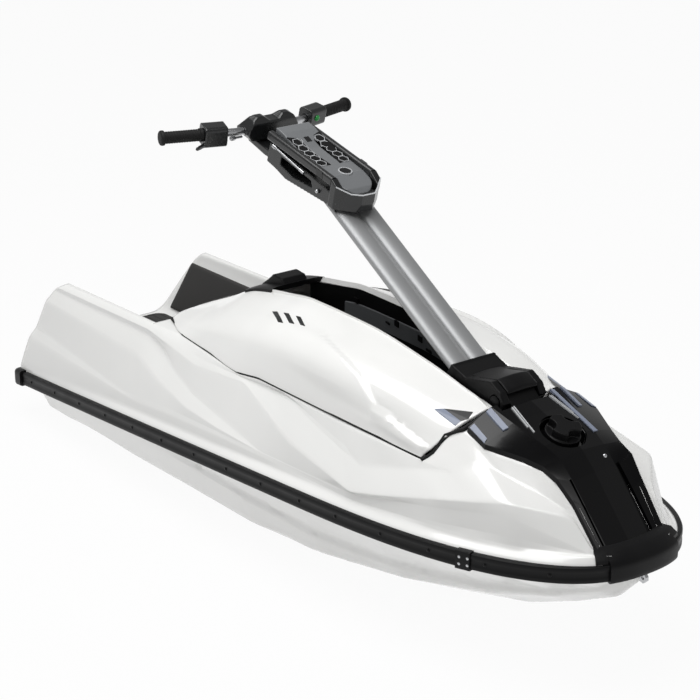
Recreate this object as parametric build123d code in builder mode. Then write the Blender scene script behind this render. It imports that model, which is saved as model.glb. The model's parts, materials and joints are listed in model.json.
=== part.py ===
from build123d import *

import os
from math import cos, radians, sin, sqrt

# Stand-up personal watercraft, millimetres. +X is the bow, +Y is port, +Z is up, and the keel pad is at Z 0.

# Overall sizes
LENGTH = 2430
HALF_BEAM = 369
STERN_X = -LENGTH / 2
BOW_X = LENGTH / 2
WIDE = 2 * HALF_BEAM
TALL = 1200
FIT = 0.3
SEAT = 0.15


def aft(distance):
    """Place along the boat by its distance forward of the stern."""
    return STERN_X + distance


def fore(distance):
    """Place along the boat by its distance behind the bow."""
    return BOW_X - distance


# Rub rail: a rubber band round the joint of hull and deck, with thicker caps at the bow and the stern corners
RAIL_HEIGHT = 42
RAIL_DEPTH = 16
CAP_PROUD = 7
CAP_TAKE = 4
JOINER_PROUD = 3
JOINER_LENGTH = 42
WIDEST_X = fore(927)
STERN_HALF_WIDTH = 314
STERN_CORNER = 20
SHEER_STERN_Z = 143
SHEER_MID_Z = 262
SHEER_BOW_Z = 336
BOW_FULLNESS = 2.61
BOW_BLUNTNESS = 2.49
BOW_KNOTS = (0.457, 0.87)
BOW_BEND = 0.78
RAIL_BOW_X = BOW_X - CAP_PROUD
RAIL_STERN_X = STERN_X + CAP_PROUD
RAIL_JOINT_X = fore(328)
BUMPER_REAR_X = fore(25)
STERN_CAP_X = aft(62)
JOINT_DROP = RAIL_HEIGHT / 2
BUMPER_SEAM = 3


def rail_half_width(x):
    """Half the beam at x: a parabola aft of the widest place, a superellipse round the bow."""
    if x <= WIDEST_X:
        back = (WIDEST_X - x) / (WIDEST_X - RAIL_STERN_X - STERN_CORNER)
        return HALF_BEAM - (HALF_BEAM - STERN_HALF_WIDTH) * back**2
    ahead = min((x - WIDEST_X) / (RAIL_BOW_X - WIDEST_X), 1)
    return HALF_BEAM * (1 - ahead**BOW_FULLNESS) ** (1 / BOW_BLUNTNESS)


def sheer_z(x):
    """Top of the rub rail at x: the parabola through its stern, middle and bow heights."""
    t = 2 * x / LENGTH
    rise = (SHEER_BOW_Z - SHEER_STERN_Z) / 2
    sag = (SHEER_BOW_Z + SHEER_STERN_Z) / 2 - SHEER_MID_Z
    return SHEER_MID_Z + rise * t + sag * t**2


def rail_point(x, inset):
    """Place on the outline at x, moved in square to the outline by inset."""
    step = 0.5
    slope = (rail_half_width(x + step) - rail_half_width(x - step)) / (2 * step)
    length = sqrt(1 + slope**2)
    return (x + inset * slope / length, rail_half_width(x) - inset / length)


def planform(inset):
    """Outline of the rub rail seen from above, moved in by inset."""
    stern = RAIL_STERN_X + inset
    corner_x = RAIL_STERN_X + STERN_CORNER
    side_y = STERN_HALF_WIDTH - inset
    bow_run = RAIL_BOW_X - WIDEST_X
    knots = [corner_x, WIDEST_X] + [WIDEST_X + share * bow_run for share in BOW_KNOTS]
    with BuildSketch() as outline:
        with BuildLine():
            corner_start = (stern, STERN_HALF_WIDTH - STERN_CORNER)
            Line((stern, 0), corner_start)
            RadiusArc(corner_start, (corner_x, side_y), STERN_CORNER - inset)
            at = (corner_x, side_y)
            for start, end in zip(knots[:-1], knots[1:]):
                arc = ThreePointArc(at, rail_point((start + end) / 2, inset), rail_point(end, inset))
                at = arc @ 1
            bend_x = knots[-1] + BOW_BEND * (RAIL_BOW_X - knots[-1])
            ThreePointArc(at, rail_point(bend_x, inset), (RAIL_BOW_X - inset, 0))
            mirror(about=Plane.XZ)
        make_face()
    return outline.sketch


def sheer_band(low, high):
    """Side view of the strip between two heights measured from the top of the rub rail."""
    ends = (STERN_X - RAIL_DEPTH, 0, BOW_X + RAIL_DEPTH)
    lower = [(x, sheer_z(x) + low) for x in ends]
    upper = [(x, sheer_z(x) + high) for x in ends]
    with BuildSketch(Plane.XZ) as band:
        with BuildLine():
            ThreePointArc(*lower)
            Line(lower[2], upper[2])
            ThreePointArc(*reversed(upper))
            Line(upper[0], lower[0])
        make_face()
    return band.sketch


def both_sides(half):
    """Points of the port half followed by their mirror images, going back to the start."""
    return half + [(-y, z) for y, z in reversed(half)]


def section(x, outline):
    """Closed cross-section of the boat at x."""
    with BuildSketch(Plane.YZ.offset(x)) as drawn:
        with BuildLine():
            Polyline(*outline, close=True)
        make_face()
    return drawn.sketch


def side_view(points, plane=Plane.XZ):
    """Closed outline drawn on a plane along the boat's centre."""
    with BuildSketch(plane) as view:
        with BuildLine():
            Polyline(*points, close=True)
        make_face()
    return view.sketch


def on_line(line, x):
    """Half width and height of a styling line at x, straight between its places."""
    for (x_low, y_low, z_low), (x_high, y_high, z_high) in zip(line[:-1], line[1:]):
        if x <= x_high:
            t = (x - x_low) / (x_high - x_low)
            return (y_low + t * (y_high - y_low), z_low + t * (z_high - z_low))
    return line[-1][1:]


# Water jet: a tunnel under the tray, the pump in it, a duct down to the intake
PUMP_AXIS_Z = 104
TUNNEL_HALF_WIDTH = 112
TUNNEL_TOP_Z = 214
TUNNEL_FRONT_X = aft(425)
TRANSOM_X = aft(145)
PUMP_BORE = 157
PUMP_OUTSIDE = 184
PUMP_REAR_X = aft(280)
OUTLET_X = aft(215)
CONE_END_X = aft(159)
OUTLET_TIP_X = aft(97)
OUTLET_TIP_OUTSIDE = 92
OUTLET_WALL = 6
SHAFT_DIAMETER = 25
SHAFT_CLEARANCE = 0.05
SHAFT_FRONT_X = aft(640)
SHAFT_REAR_X = aft(225)
IMPELLER_GAP = 1
IMPELLER_HUB = 62
IMPELLER_FRONT_X = aft(390)
IMPELLER_LENGTH = 75
IMPELLER_BLADES = 4
BLADE_PITCH = 40
BLADE_THICKNESS = 5
STATOR_VANES = 6
TAIL_CONE_LENGTH = 42
TAIL_CONE_TIP = 20
JET_WAY_HALF_WIDTH = TUNNEL_HALF_WIDTH + 10
NOZZLE_PIN_X = aft(107)
NOZZLE_PIN = 12
NOZZLE_FRONT_X = aft(117)
NOZZLE_REAR_X = aft(27)
NOZZLE_INSIDE = 122
NOZZLE_TIP_INSIDE = 88
NOZZLE_WALL = 6
INTAKE_HALF_WIDTH = 72
INTAKE_FRONT_X = aft(785)
INTAKE_REAR_X = aft(493)
RIDE_PLATE_REAR_X = aft(105)
RIDE_PLATE_THICKNESS = 8
BELOW = -20

# Hull bottom, one row for each station: x, pad_y, keel_z, chine_y, chine_z, share of the side above the spray strake
HULL_ROWS = [
    (TRANSOM_X, TUNNEL_HALF_WIDTH, 0, 276, 54, 0.08),
    (aft(415), TUNNEL_HALF_WIDTH, 0, 285, 66, 0.08),
    (aft(855), 85, 0, 296, 71, 0.08),
    (fore(1185), 60, 0, 302, 76, 0.40),
    (fore(885), 48, 0, 288, 92, 0.60),
    (fore(615), 36, 16, 244, 116, 0.72),
    (fore(377), 22, 72, 172, 146, 0.80),
    (fore(215), 15, 138, 108, 180, 0.85),
    (fore(95), 9, 196, 50, 222, 0.88),
    (fore(27), 4, 264, 14, 282, 0.90),
]
STRAKE_STEP = 7
BAY_REAR_X = aft(885)
BAY_FRONT_X = fore(765)
BAY_HALF_WIDTH = 150
BAY_FLOOR_Z = 85

duct = side_view(
    [
        (TUNNEL_FRONT_X, PUMP_AXIS_Z - PUMP_BORE / 2),
        (TUNNEL_FRONT_X, PUMP_AXIS_Z + PUMP_BORE / 2),
        (INTAKE_FRONT_X, 0),
        (INTAKE_FRONT_X, BELOW),
        (INTAKE_REAR_X, BELOW),
        (INTAKE_REAR_X, 0),
    ]
)
tunnel = side_view(
    [
        (STERN_X - RAIL_DEPTH, BELOW),
        (TUNNEL_FRONT_X, BELOW),
        (TUNNEL_FRONT_X, TUNNEL_TOP_Z),
        (STERN_X - RAIL_DEPTH, TUNNEL_TOP_Z),
    ]
)

hull_sections = []
for x, pad_y, keel_z, chine_y, chine_z, share in HULL_ROWS:
    side_y = max(rail_half_width(x) - RAIL_DEPTH + FIT, chine_y + 4)
    side_z = sheer_z(x) - RAIL_HEIGHT
    strake_y = side_y + share * (chine_y - side_y)
    strake_z = side_z + share * (chine_z - side_z)
    step = min(STRAKE_STEP, (side_y - chine_y) / 3)
    half = [(pad_y, keel_z), (chine_y, chine_z), (strake_y, strake_z), (strake_y - step, strake_z + step)]
    half += [(side_y, side_z), (side_y, sheer_z(x))]
    hull_sections.append(section(x, both_sides(half)))

with BuildPart() as hull_bottom:
    loft(sections=hull_sections, ruled=True)
    extrude(planform(RAIL_DEPTH + FIT), amount=TALL, mode=Mode.INTERSECT)
    extrude(sheer_band(-TALL, -JOINT_DROP - SEAT), amount=WIDE, both=True, mode=Mode.INTERSECT)
    extrude(tunnel, amount=TUNNEL_HALF_WIDTH, both=True, mode=Mode.SUBTRACT)
    extrude(duct, amount=INTAKE_HALF_WIDTH, both=True, mode=Mode.SUBTRACT)
    with BuildSketch(Plane.XY.offset(BAY_FLOOR_Z)):
        with Locations(((BAY_REAR_X + BAY_FRONT_X) / 2, 0)):
            Rectangle(BAY_FRONT_X - BAY_REAR_X, 2 * BAY_HALF_WIDTH)
    extrude(amount=TALL, mode=Mode.SUBTRACT)
    with BuildSketch(Plane.YZ.offset(SHAFT_FRONT_X)):
        with Locations((0, PUMP_AXIS_Z)):
            Circle(SHAFT_DIAMETER / 2 + SHAFT_CLEARANCE)
    extrude(amount=TUNNEL_FRONT_X - SHAFT_FRONT_X, mode=Mode.SUBTRACT)

# Deck: gunwales and standing tray aft, side walls round the engine bay, nose forward
LEDGE_IN = 22
LEDGE_UP = 18
TRAY_FLOOR_Z = 250
TRAY_HALF_WIDTH = 190
TRAY_TOP_HALF_WIDTH = 236
TRAY_BREAK_Z = 440
TRAY_FLARE = 14
TRAY_FRONT_X = aft(710)
GUNWALE_RAKE = [(aft(24), 172), (aft(30), 190), (aft(186), 426), (aft(208), 452), (aft(250), 473)]
HOOD_REAR_X = aft(720)
HOOD_GAP = 5
WALL_THICKNESS = 34
NOSE_REAR_X = fore(443)
SHOULDER_X = fore(535)
SHOULDER_Z = 469
SHOULDER_ROOM_Y = 276
NOTCH_REAR_X = NOSE_REAR_X - 60
NOTCH_FRONT_X = fore(421)
NOTCH_HALF_WIDTH = 92
NOTCH_FLOOR_Z = 476
DECK_STERN_X = STERN_X + RAIL_DEPTH
DECK_BOW_X = RAIL_BOW_X - RAIL_DEPTH

# Styling lines of the deck's side, each a run of places x, y, z: creases between its bright and its shaded bands
KNEE_LINE = [
    (DECK_STERN_X, 297, 274),
    (HOOD_REAR_X, 319, 262),
    (aft(873), 325, 280),
    (aft(1139), 331, 300),
    (fore(707), 326, 325),
    (NOSE_REAR_X, 288, 362),
    (fore(284), 238, 374),
    (fore(239), 212, 388),
    (fore(194), 204, 366),
    (fore(60), 124, 346),
    (DECK_BOW_X, 70, 344),
]
FIRST_LOW_LINE = [
    (DECK_STERN_X, 284, 418),
    (aft(696), 282, 392),
    (aft(830), 302, 354),
    (aft(978), 318, 329),
    (aft(1139), 326, 325),
    (fore(707), 326, 331),
    (NOSE_REAR_X, 284, 372),
]
FIRST_HIGH_LINE = [
    (HOOD_REAR_X, 262, 474),
    (aft(790), 269, 439),
    (aft(873), 290, 395),
    (aft(978), 307, 362),
    (aft(1139), 317, 350),
    (fore(707), 325, 336),
    (NOSE_REAR_X, 279, 386),
]
SECOND_LOW_LINE = [
    (HOOD_REAR_X, 260.4, 478),
    (aft(978), 280, 440),
    (aft(1213), 283, 461),
    (fore(975), 314, 385),
    (fore(707), 325, 341),
    (fore(557), 299, 380),
    (fore(284), 204, 428),
    (fore(190), 161, 426),
    (fore(132), 124, 414),
    (fore(60), 119, 345),
    (DECK_BOW_X, 69, 342),
]
SECOND_HIGH_LINE = [
    (HOOD_REAR_X, 259.4, 480.3),
    (aft(978), 272, 458),
    (fore(1032), 280, 479),
    (fore(923), 289, 451),
    (fore(707), 303, 403),
    (fore(557), 272, 441),
    (fore(423), 231, 469),
    (fore(369), 200, 500),
    (fore(239), 160, 466),
    (fore(147), 122, 430),
    (fore(60), 114, 342),
    (DECK_BOW_X, 68, 339),
]
TOP_LINE = [
    (DECK_STERN_X, 263, 470),
    (HOOD_REAR_X, 258, 482),
    (aft(855), 247, 484),
    (aft(1165), 277, 471),
    (fore(1171), 277, 484),
    (fore(676), 273, 478),
    (fore(525), 259, 469),
    (NOSE_REAR_X, 232, 466),
]
# Lines of the nose: the edge of the black panel, and the sides of the flat that runs down its middle
EDGE_LINE = [
    (SHOULDER_X, 196, 552),
    (NOSE_REAR_X, 184, 550),
    (fore(377), 187, 528),
    (fore(321), 160, 520),
    (fore(247), 129, 506),
    (fore(194), 125, 486),
    (fore(147), 115, 440),
    (fore(60), 109, 338),
    (DECK_BOW_X, 66, 334),
]
CROWN_LINE = [
    (SHOULDER_X, 112, 588),
    (NOSE_REAR_X, 112, 584),
    (fore(377), 100, 560),
    (fore(247), 76, 516),
    (fore(194), 74, 466),
    (fore(60), 70, 318),
    (DECK_BOW_X, 50, 314),
]
TRAY_STATIONS = [DECK_STERN_X, aft(696), HOOD_REAR_X]
BAY_STATIONS = [HOOD_REAR_X] + [aft(d) for d in (790, 873, 978, 1139)]
BAY_STATIONS += [fore(d) for d in (1171, 1032, 923, 707, 557)] + [SHOULDER_X]
NOSE_STATIONS = [SHOULDER_X, NOSE_REAR_X] + [fore(d) for d in (377, 284, 239, 194, 147, 60)] + [DECK_BOW_X]


def deck_side(x, lines):
    """Outside of the deck at x, from below the rub rail up through its styling lines."""
    rising = [on_line(line, x) for line in lines]
    knee_y, knee_z = rising[0]
    base_y = max(rail_half_width(x) - RAIL_DEPTH + FIT, knee_y + 2)
    rail_z = sheer_z(x)
    ledge = (max(base_y - LEDGE_IN, knee_y + 1), rail_z + LEDGE_UP)
    rising[0] = (knee_y, max(knee_z, ledge[1] + 1))
    return [(base_y, rail_z - RAIL_HEIGHT), (base_y, rail_z), ledge] + rising


tray_lines = [KNEE_LINE, FIRST_LOW_LINE, TOP_LINE]
bay_lines = [KNEE_LINE, FIRST_LOW_LINE, FIRST_HIGH_LINE, SECOND_LOW_LINE, SECOND_HIGH_LINE, TOP_LINE]
nose_lines = [KNEE_LINE, SECOND_LOW_LINE, SECOND_HIGH_LINE, EDGE_LINE, CROWN_LINE]
tray_sections = [section(x, both_sides(deck_side(x, tray_lines))) for x in TRAY_STATIONS]
bay_sections = []
for x in BAY_STATIONS:
    side = deck_side(x, bay_lines)
    inner_y = side[-1][0] - WALL_THICKNESS
    bay_sections.append(section(x, side + [(inner_y, side[-1][1]), (inner_y, side[0][1])]))
nose_sections = [section(x, both_sides(deck_side(x, nose_lines))) for x in NOSE_STATIONS]

# Front edge of the hood seen from above; the nose stands clear of it by the gap
HOOD_FRONT_X = fore(521)
HINGE_X = NOSE_REAR_X - HOOD_GAP
HOOD_FRONT = [(HOOD_FRONT_X, 270), (fore(509), 233), (fore(501), 206), (fore(463), 184), (HINGE_X, 116)]


def hood_plan(rear_x, side_y, gap):
    """Ground plan of the hood forward of rear_x, let out by a gap at its front edge."""
    port = [(rear_x, side_y), (HOOD_FRONT_X + gap, side_y)] + [(x + gap, y + gap / 2) for x, y in HOOD_FRONT]
    return side_view(port + [(x, -y) for x, y in reversed(port)], Plane.XY)


FILLER_X = fore(307)
FILLER_Z = 545
FILLER_PITCH = 18.7
RECESS_DIAMETER = 118
RECESS_DEPTH = 34
filler_plane = Plane(
    origin=(FILLER_X, 0, FILLER_Z),
    x_dir=(cos(radians(FILLER_PITCH)), 0, -sin(radians(FILLER_PITCH))),
    z_dir=(sin(radians(FILLER_PITCH)), 0, cos(radians(FILLER_PITCH))),
)
recess_floor = filler_plane.offset(-RECESS_DEPTH)
notch = side_view(
    [(NOTCH_REAR_X, NOTCH_FLOOR_Z), (NOTCH_FRONT_X, NOTCH_FLOOR_Z), (NOTCH_FRONT_X, TALL), (NOTCH_REAR_X, TALL)]
)

with BuildPart() as deck:
    loft(sections=tray_sections, ruled=True)
    loft(sections=bay_sections, ruled=True)
    mirror(about=Plane.XZ)
    loft(sections=nose_sections, ruled=True)
    extrude(planform(RAIL_DEPTH + FIT), amount=TALL, mode=Mode.INTERSECT)
    extrude(sheer_band(-JOINT_DROP + SEAT, TALL), amount=WIDE, both=True, mode=Mode.INTERSECT)
    hood_room = Pos(Z=SHOULDER_Z) * hood_plan(SHOULDER_X - 1, SHOULDER_ROOM_Y, HOOD_GAP)
    extrude(hood_room, amount=TALL, mode=Mode.SUBTRACT)
    with BuildSketch(Plane.YZ.offset(STERN_X - RAIL_DEPTH)):
        with BuildLine():
            tray_half = [
                (TRAY_HALF_WIDTH, TRAY_FLOOR_Z),
                (TRAY_TOP_HALF_WIDTH, TRAY_BREAK_Z),
                (TRAY_TOP_HALF_WIDTH + TRAY_FLARE, TALL),
            ]
            Polyline(*both_sides(tray_half), close=True)
        make_face()
    extrude(amount=TRAY_FRONT_X - STERN_X + RAIL_DEPTH, mode=Mode.SUBTRACT)
    behind = [(STERN_X - RAIL_DEPTH, GUNWALE_RAKE[0][1])] + GUNWALE_RAKE
    rake = side_view(behind + [(GUNWALE_RAKE[-1][0], TALL), (STERN_X - RAIL_DEPTH, TALL)])
    extrude(rake, amount=WIDE, both=True, mode=Mode.SUBTRACT)
    extrude(tunnel, amount=TUNNEL_HALF_WIDTH, both=True, mode=Mode.SUBTRACT)
    extrude(duct, amount=INTAKE_HALF_WIDTH, both=True, mode=Mode.SUBTRACT)
    extrude(notch, amount=NOTCH_HALF_WIDTH, both=True, mode=Mode.SUBTRACT)
    with BuildSketch(recess_floor):
        Circle(RECESS_DIAMETER / 2)
    extrude(amount=TALL / 4, mode=Mode.SUBTRACT)

# Black panel over the nose: a ridged flat down the middle, a groove along each side of it, the filler's round recess
PANEL_THICKNESS = 12
PANEL_LIP = 3
RIDGE_RISE = 5
GROOVE_INNER_Y = 73
GROOVE_OUTER_Y = 82
GROOVE_DEPTH = 7
GROOVE_TOP_X = fore(199)
panel_sections = []
for x in NOSE_STATIONS[1:-1]:
    edge_y, edge_z = on_line(EDGE_LINE, x)
    crown_y, crown_z = on_line(CROWN_LINE, x)
    under = [(edge_y, edge_z + FIT), (crown_y, crown_z + FIT)]
    over = [(0, crown_z + PANEL_THICKNESS + RIDGE_RISE), (crown_y - PANEL_LIP, crown_z + PANEL_THICKNESS)]
    over.append((edge_y - PANEL_LIP, edge_z + PANEL_THICKNESS))
    left = [(-y, z) for y, z in reversed(over[1:])]
    panel_sections.append(section(x, both_sides(under) + left + over))
plate_foot_x, plate_head_x = NOSE_STATIONS[-2], GROOVE_TOP_X
plate_head_z = on_line(CROWN_LINE, plate_head_x)[1] + PANEL_THICKNESS - GROOVE_DEPTH
plate_foot_z = on_line(CROWN_LINE, plate_foot_x)[1] + PANEL_THICKNESS - GROOVE_DEPTH
groove = side_view(
    [(plate_head_x, plate_head_z), (plate_foot_x + 1, plate_foot_z), (plate_foot_x + 1, TALL), (plate_head_x, TALL)]
)

with BuildPart() as nose_panel:
    loft(sections=panel_sections, ruled=True)
    extrude(planform(RAIL_DEPTH + FIT), amount=TALL, mode=Mode.INTERSECT)
    extrude(notch, amount=NOTCH_HALF_WIDTH, both=True, mode=Mode.SUBTRACT)
    for hand in (-1, 1):
        start_y = GROOVE_INNER_Y if hand > 0 else -GROOVE_OUTER_Y
        extrude(Pos(Y=start_y) * groove, amount=-(GROOVE_OUTER_Y - GROOVE_INNER_Y), mode=Mode.SUBTRACT)
    with BuildSketch(recess_floor):
        Circle(RECESS_DIAMETER / 2)
    extrude(amount=TALL / 4, mode=Mode.SUBTRACT)

# Fuel filler: a neck in the recess and a three-lobed screw cap on it
NECK_DIAMETER = 62
NECK_BORE = 48
NECK_HEIGHT = 26
CAP_DIAMETER = 90
CAP_HEIGHT = 34
CAP_LOBES = 3
CAP_CLEARANCE = 0.08
CAP_TOP = 12
CAP_RIM = 4
CAP_FOOT = 5

with BuildPart() as filler_neck:
    with BuildSketch(recess_floor):
        Circle(NECK_DIAMETER / 2)
        Circle(NECK_BORE / 2, mode=Mode.SUBTRACT)
    extrude(amount=NECK_HEIGHT)

with BuildPart() as fuel_cap:
    with BuildSketch(recess_floor.offset(CAP_FOOT)):
        Circle(CAP_DIAMETER / 2)
        Circle(NECK_DIAMETER / 2 + CAP_CLEARANCE, mode=Mode.SUBTRACT)
    extrude(amount=NECK_HEIGHT + FIT - CAP_FOOT)
    with BuildSketch(recess_floor.offset(NECK_HEIGHT + FIT)):
        Circle(CAP_DIAMETER / 2)
    extrude(amount=CAP_TOP - FIT)
    with BuildSketch(recess_floor.offset(NECK_HEIGHT + CAP_TOP)):
        Circle(CAP_DIAMETER / 2 - CAP_RIM)
        with PolarLocations(CAP_DIAMETER / 2, CAP_LOBES):
            Circle(CAP_DIAMETER / 4, mode=Mode.SUBTRACT)
    extrude(amount=CAP_HEIGHT - CAP_TOP)

# Rub rail pieces cut from three bands of different thickness
def between(x_low, x_high, y_low=-WIDE, y_high=WIDE):
    """Seen from above, the rectangle that keeps one length of the rub rail."""
    with BuildSketch() as keep:
        with Locations(((x_low + x_high) / 2, (y_low + y_high) / 2)):
            Rectangle(x_high - x_low, y_high - y_low)
    return keep.sketch


with BuildPart() as rail_band:
    extrude(planform(0), amount=TALL)
    extrude(planform(RAIL_DEPTH), amount=TALL, mode=Mode.SUBTRACT)
    extrude(sheer_band(-RAIL_HEIGHT, 0), amount=WIDE, both=True, mode=Mode.INTERSECT)

with BuildPart() as joiner_band:
    extrude(planform(-JOINER_PROUD), amount=TALL)
    extrude(planform(RAIL_DEPTH), amount=TALL, mode=Mode.SUBTRACT)
    extrude(sheer_band(-RAIL_HEIGHT - JOINER_PROUD, JOINER_PROUD), amount=WIDE, both=True, mode=Mode.INTERSECT)
    extrude(between(RAIL_JOINT_X, RAIL_JOINT_X + JOINER_LENGTH), amount=TALL, mode=Mode.INTERSECT)

with BuildPart() as cap_band:
    extrude(planform(-CAP_PROUD), amount=TALL)
    extrude(planform(RAIL_DEPTH), amount=TALL, mode=Mode.SUBTRACT)
    extrude(sheer_band(-RAIL_HEIGHT - CAP_TAKE, CAP_TAKE), amount=WIDE, both=True, mode=Mode.INTERSECT)


with BuildPart() as rail_starboard:
    add(rail_band.part)
    extrude(between(STERN_CAP_X, RAIL_JOINT_X, y_high=0), amount=TALL, mode=Mode.INTERSECT)

with BuildPart() as rail_port:
    add(rail_band.part)
    extrude(between(STERN_CAP_X, RAIL_JOINT_X, y_low=0), amount=TALL, mode=Mode.INTERSECT)

with BuildPart() as rail_bow:
    add(rail_band.part)
    extrude(between(RAIL_JOINT_X, BUMPER_REAR_X), amount=TALL, mode=Mode.INTERSECT)
    add(joiner_band.part)

with BuildPart() as rail_stern:
    add(cap_band.part)
    extrude(between(STERN_X - RAIL_DEPTH, STERN_CAP_X), amount=TALL, mode=Mode.INTERSECT)
    jet_way = between(STERN_X - RAIL_DEPTH, STERN_CAP_X, -JET_WAY_HALF_WIDTH, JET_WAY_HALF_WIDTH)
    extrude(jet_way, amount=TALL, mode=Mode.SUBTRACT)

with BuildPart() as bow_bumper:
    add(cap_band.part)
    extrude(between(BUMPER_REAR_X, BOW_X + RAIL_DEPTH), amount=TALL, mode=Mode.INTERSECT)
    seam = between(RAIL_BOW_X, BOW_X + RAIL_DEPTH, -BUMPER_SEAM / 2, BUMPER_SEAM / 2)
    extrude(seam, amount=TALL, mode=Mode.SUBTRACT)

# Engine, one plain block on the floor of the bay
ENGINE_REAR_X = aft(1035)
ENGINE_FRONT_X = fore(885)
ENGINE_HALF_WIDTH = 125
ENGINE_TOP_Z = 425

with BuildPart() as engine_block:
    with BuildSketch(Plane.XY.offset(BAY_FLOOR_Z)):
        with Locations(((ENGINE_REAR_X + ENGINE_FRONT_X) / 2, 0)):
            Rectangle(ENGINE_FRONT_X - ENGINE_REAR_X, 2 * ENGINE_HALF_WIDTH)
    extrude(amount=ENGINE_TOP_Z - BAY_FLOOR_Z)

# Standing mat and the pads on the inside of the gunwales
MAT_THICKNESS = 8
MAT_HALF_WIDTH = 180
MAT_CORNER = 25
MAT_REAR_X = aft(105)
MAT_FRONT_X = TRAY_FRONT_X - 8
PAD_THICKNESS = 10
PAD_LOW_Z = 272
PAD_HIGH_Z = 434
PAD_REAR_LOW_X = aft(125)
PAD_REAR_HIGH_X = aft(200)

with BuildPart() as tray_mat:
    with BuildSketch(Plane.XY.offset(TRAY_FLOOR_Z)):
        with Locations(((MAT_REAR_X + MAT_FRONT_X) / 2, 0)):
            RectangleRounded(MAT_FRONT_X - MAT_REAR_X, 2 * MAT_HALF_WIDTH, MAT_CORNER)
    extrude(amount=MAT_THICKNESS)


def tray_wall_y(z):
    """Inside face of the gunwale at height z."""
    lean = (TRAY_TOP_HALF_WIDTH - TRAY_HALF_WIDTH) / (TRAY_BREAK_Z - TRAY_FLOOR_Z)
    return TRAY_HALF_WIDTH + lean * (z - TRAY_FLOOR_Z)


pad_low_y = tray_wall_y(PAD_LOW_Z)
pad_high_y = tray_wall_y(PAD_HIGH_Z)
gunwale_pads = {}
for name, hand in (("gunwale_pad_starboard", -1), ("gunwale_pad_port", 1)):
    with BuildPart() as gunwale_pad:
        with BuildSketch(Plane.YZ.offset(PAD_REAR_LOW_X)):
            with BuildLine():
                Polyline(
                    (hand * pad_low_y, PAD_LOW_Z),
                    (hand * pad_high_y, PAD_HIGH_Z),
                    (hand * (pad_high_y - PAD_THICKNESS), PAD_HIGH_Z),
                    (hand * (pad_low_y - PAD_THICKNESS), PAD_LOW_Z),
                    close=True,
                )
            make_face()
        extrude(amount=MAT_FRONT_X - PAD_REAR_LOW_X)
        rear_cut = side_view(
            [
                (PAD_REAR_LOW_X, PAD_LOW_Z),
                (PAD_REAR_HIGH_X, PAD_HIGH_Z),
                (PAD_REAR_HIGH_X, TALL),
                (STERN_X, TALL),
                (STERN_X, PAD_LOW_Z),
            ]
        )
        extrude(rear_cut, amount=WIDE, both=True, mode=Mode.SUBTRACT)
    gunwale_pads[name] = gunwale_pad.part

# Hood: a shell over the engine bay with a slot along the middle for the handle pole
HOOD_THICKNESS = 9
SLOT_HALF_WIDTH = 80
SLOT_REAR_X = aft(1025)
# Rows for the hood: x, seam_y, seam_z, shoulder_y, shoulder_z, crest_y, crest_z
HOOD_ROWS = [
    (HOOD_REAR_X, 190, 482, 156, 499, 80, 506),
    (aft(855), 246, 484, 214, 520, 82, 562),
    (aft(1003), 259, 478, 232, 558, 84, 627),
    (fore(1171), 276, 484, 251, 608, 86, 665),
    (fore(940), 276, 483, 257, 620, 86, 660),
    (fore(707), 271, 479, 236, 602, 86, 631),
    (fore(525), 256, 469, 200, 562, 88, 597),
    (HINGE_X, 230, 472, 182, 552, 112, 588),
]

hood_sections = []
for x, seam_y, seam_z, shoulder_y, shoulder_z, crest_y, crest_z in HOOD_ROWS:
    outer = [(seam_y, seam_z + FIT), (shoulder_y, shoulder_z), (crest_y, crest_z)]
    inner = [
        (crest_y - 2, crest_z - HOOD_THICKNESS),
        (shoulder_y - HOOD_THICKNESS, shoulder_z - HOOD_THICKNESS + 2),
        (seam_y - HOOD_THICKNESS, seam_z + FIT),
    ]
    left = [(-y, z) for y, z in reversed(inner)]
    hood_sections.append(section(x, both_sides(outer) + left + inner))

with BuildPart() as hood:
    loft(sections=hood_sections, ruled=True)
    extrude(hood_plan(HOOD_REAR_X, WIDE, 0), amount=TALL, mode=Mode.INTERSECT)
    with BuildSketch(Plane.XY.offset(TRAY_FLOOR_Z)):
        with Locations(((SLOT_REAR_X + BOW_X) / 2, 0)):
            Rectangle(BOW_X - SLOT_REAR_X, 2 * SLOT_HALF_WIDTH)
    extrude(amount=TALL, mode=Mode.SUBTRACT)

# Trough liner: the channel under the slot, open in front where the pole goes down
LINER_WALL = 4
# Rows for the liner: x, rim_z, floor_z
LINER_ROWS = [(SLOT_REAR_X + FIT, 622, 575), (fore(1185), 656, 575), (fore(940), 652, 540), (fore(765), 632, 462)]

liner_sections = []
for x, rim_z, floor_z in LINER_ROWS:
    outside = SLOT_HALF_WIDTH - FIT
    inside = outside - LINER_WALL
    channel_out = [(outside, rim_z), (outside, floor_z - LINER_WALL)]
    channel_in = [(-inside, rim_z), (-inside, floor_z)]
    liner_sections.append(section(x, both_sides(channel_out) + both_sides(channel_in)))

with BuildPart() as hood_liner:
    loft(sections=liner_sections, ruled=True)

# Rest block at the back of the hood, where the pole's chin comes down
REST_HALF_WIDTH = 41
REST_REAR_X = aft(953)
REST_TOP = [(aft(1063), 640), (aft(1049), 658), (aft(1009), 662), (aft(988), 644), (REST_REAR_X + 4, 622)]


def hood_crest_z(x):
    """Height of the hood's crest at x, between its stations."""
    return on_line([(row[0], row[5], row[6]) for row in HOOD_ROWS], x)[1]


rest_seat = [(x, hood_crest_z(x) + FIT) for x in (REST_REAR_X, HOOD_ROWS[2][0], SLOT_REAR_X)]

with BuildPart() as hood_rest:
    extrude(side_view(rest_seat + REST_TOP), amount=REST_HALF_WIDTH, both=True)

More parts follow.
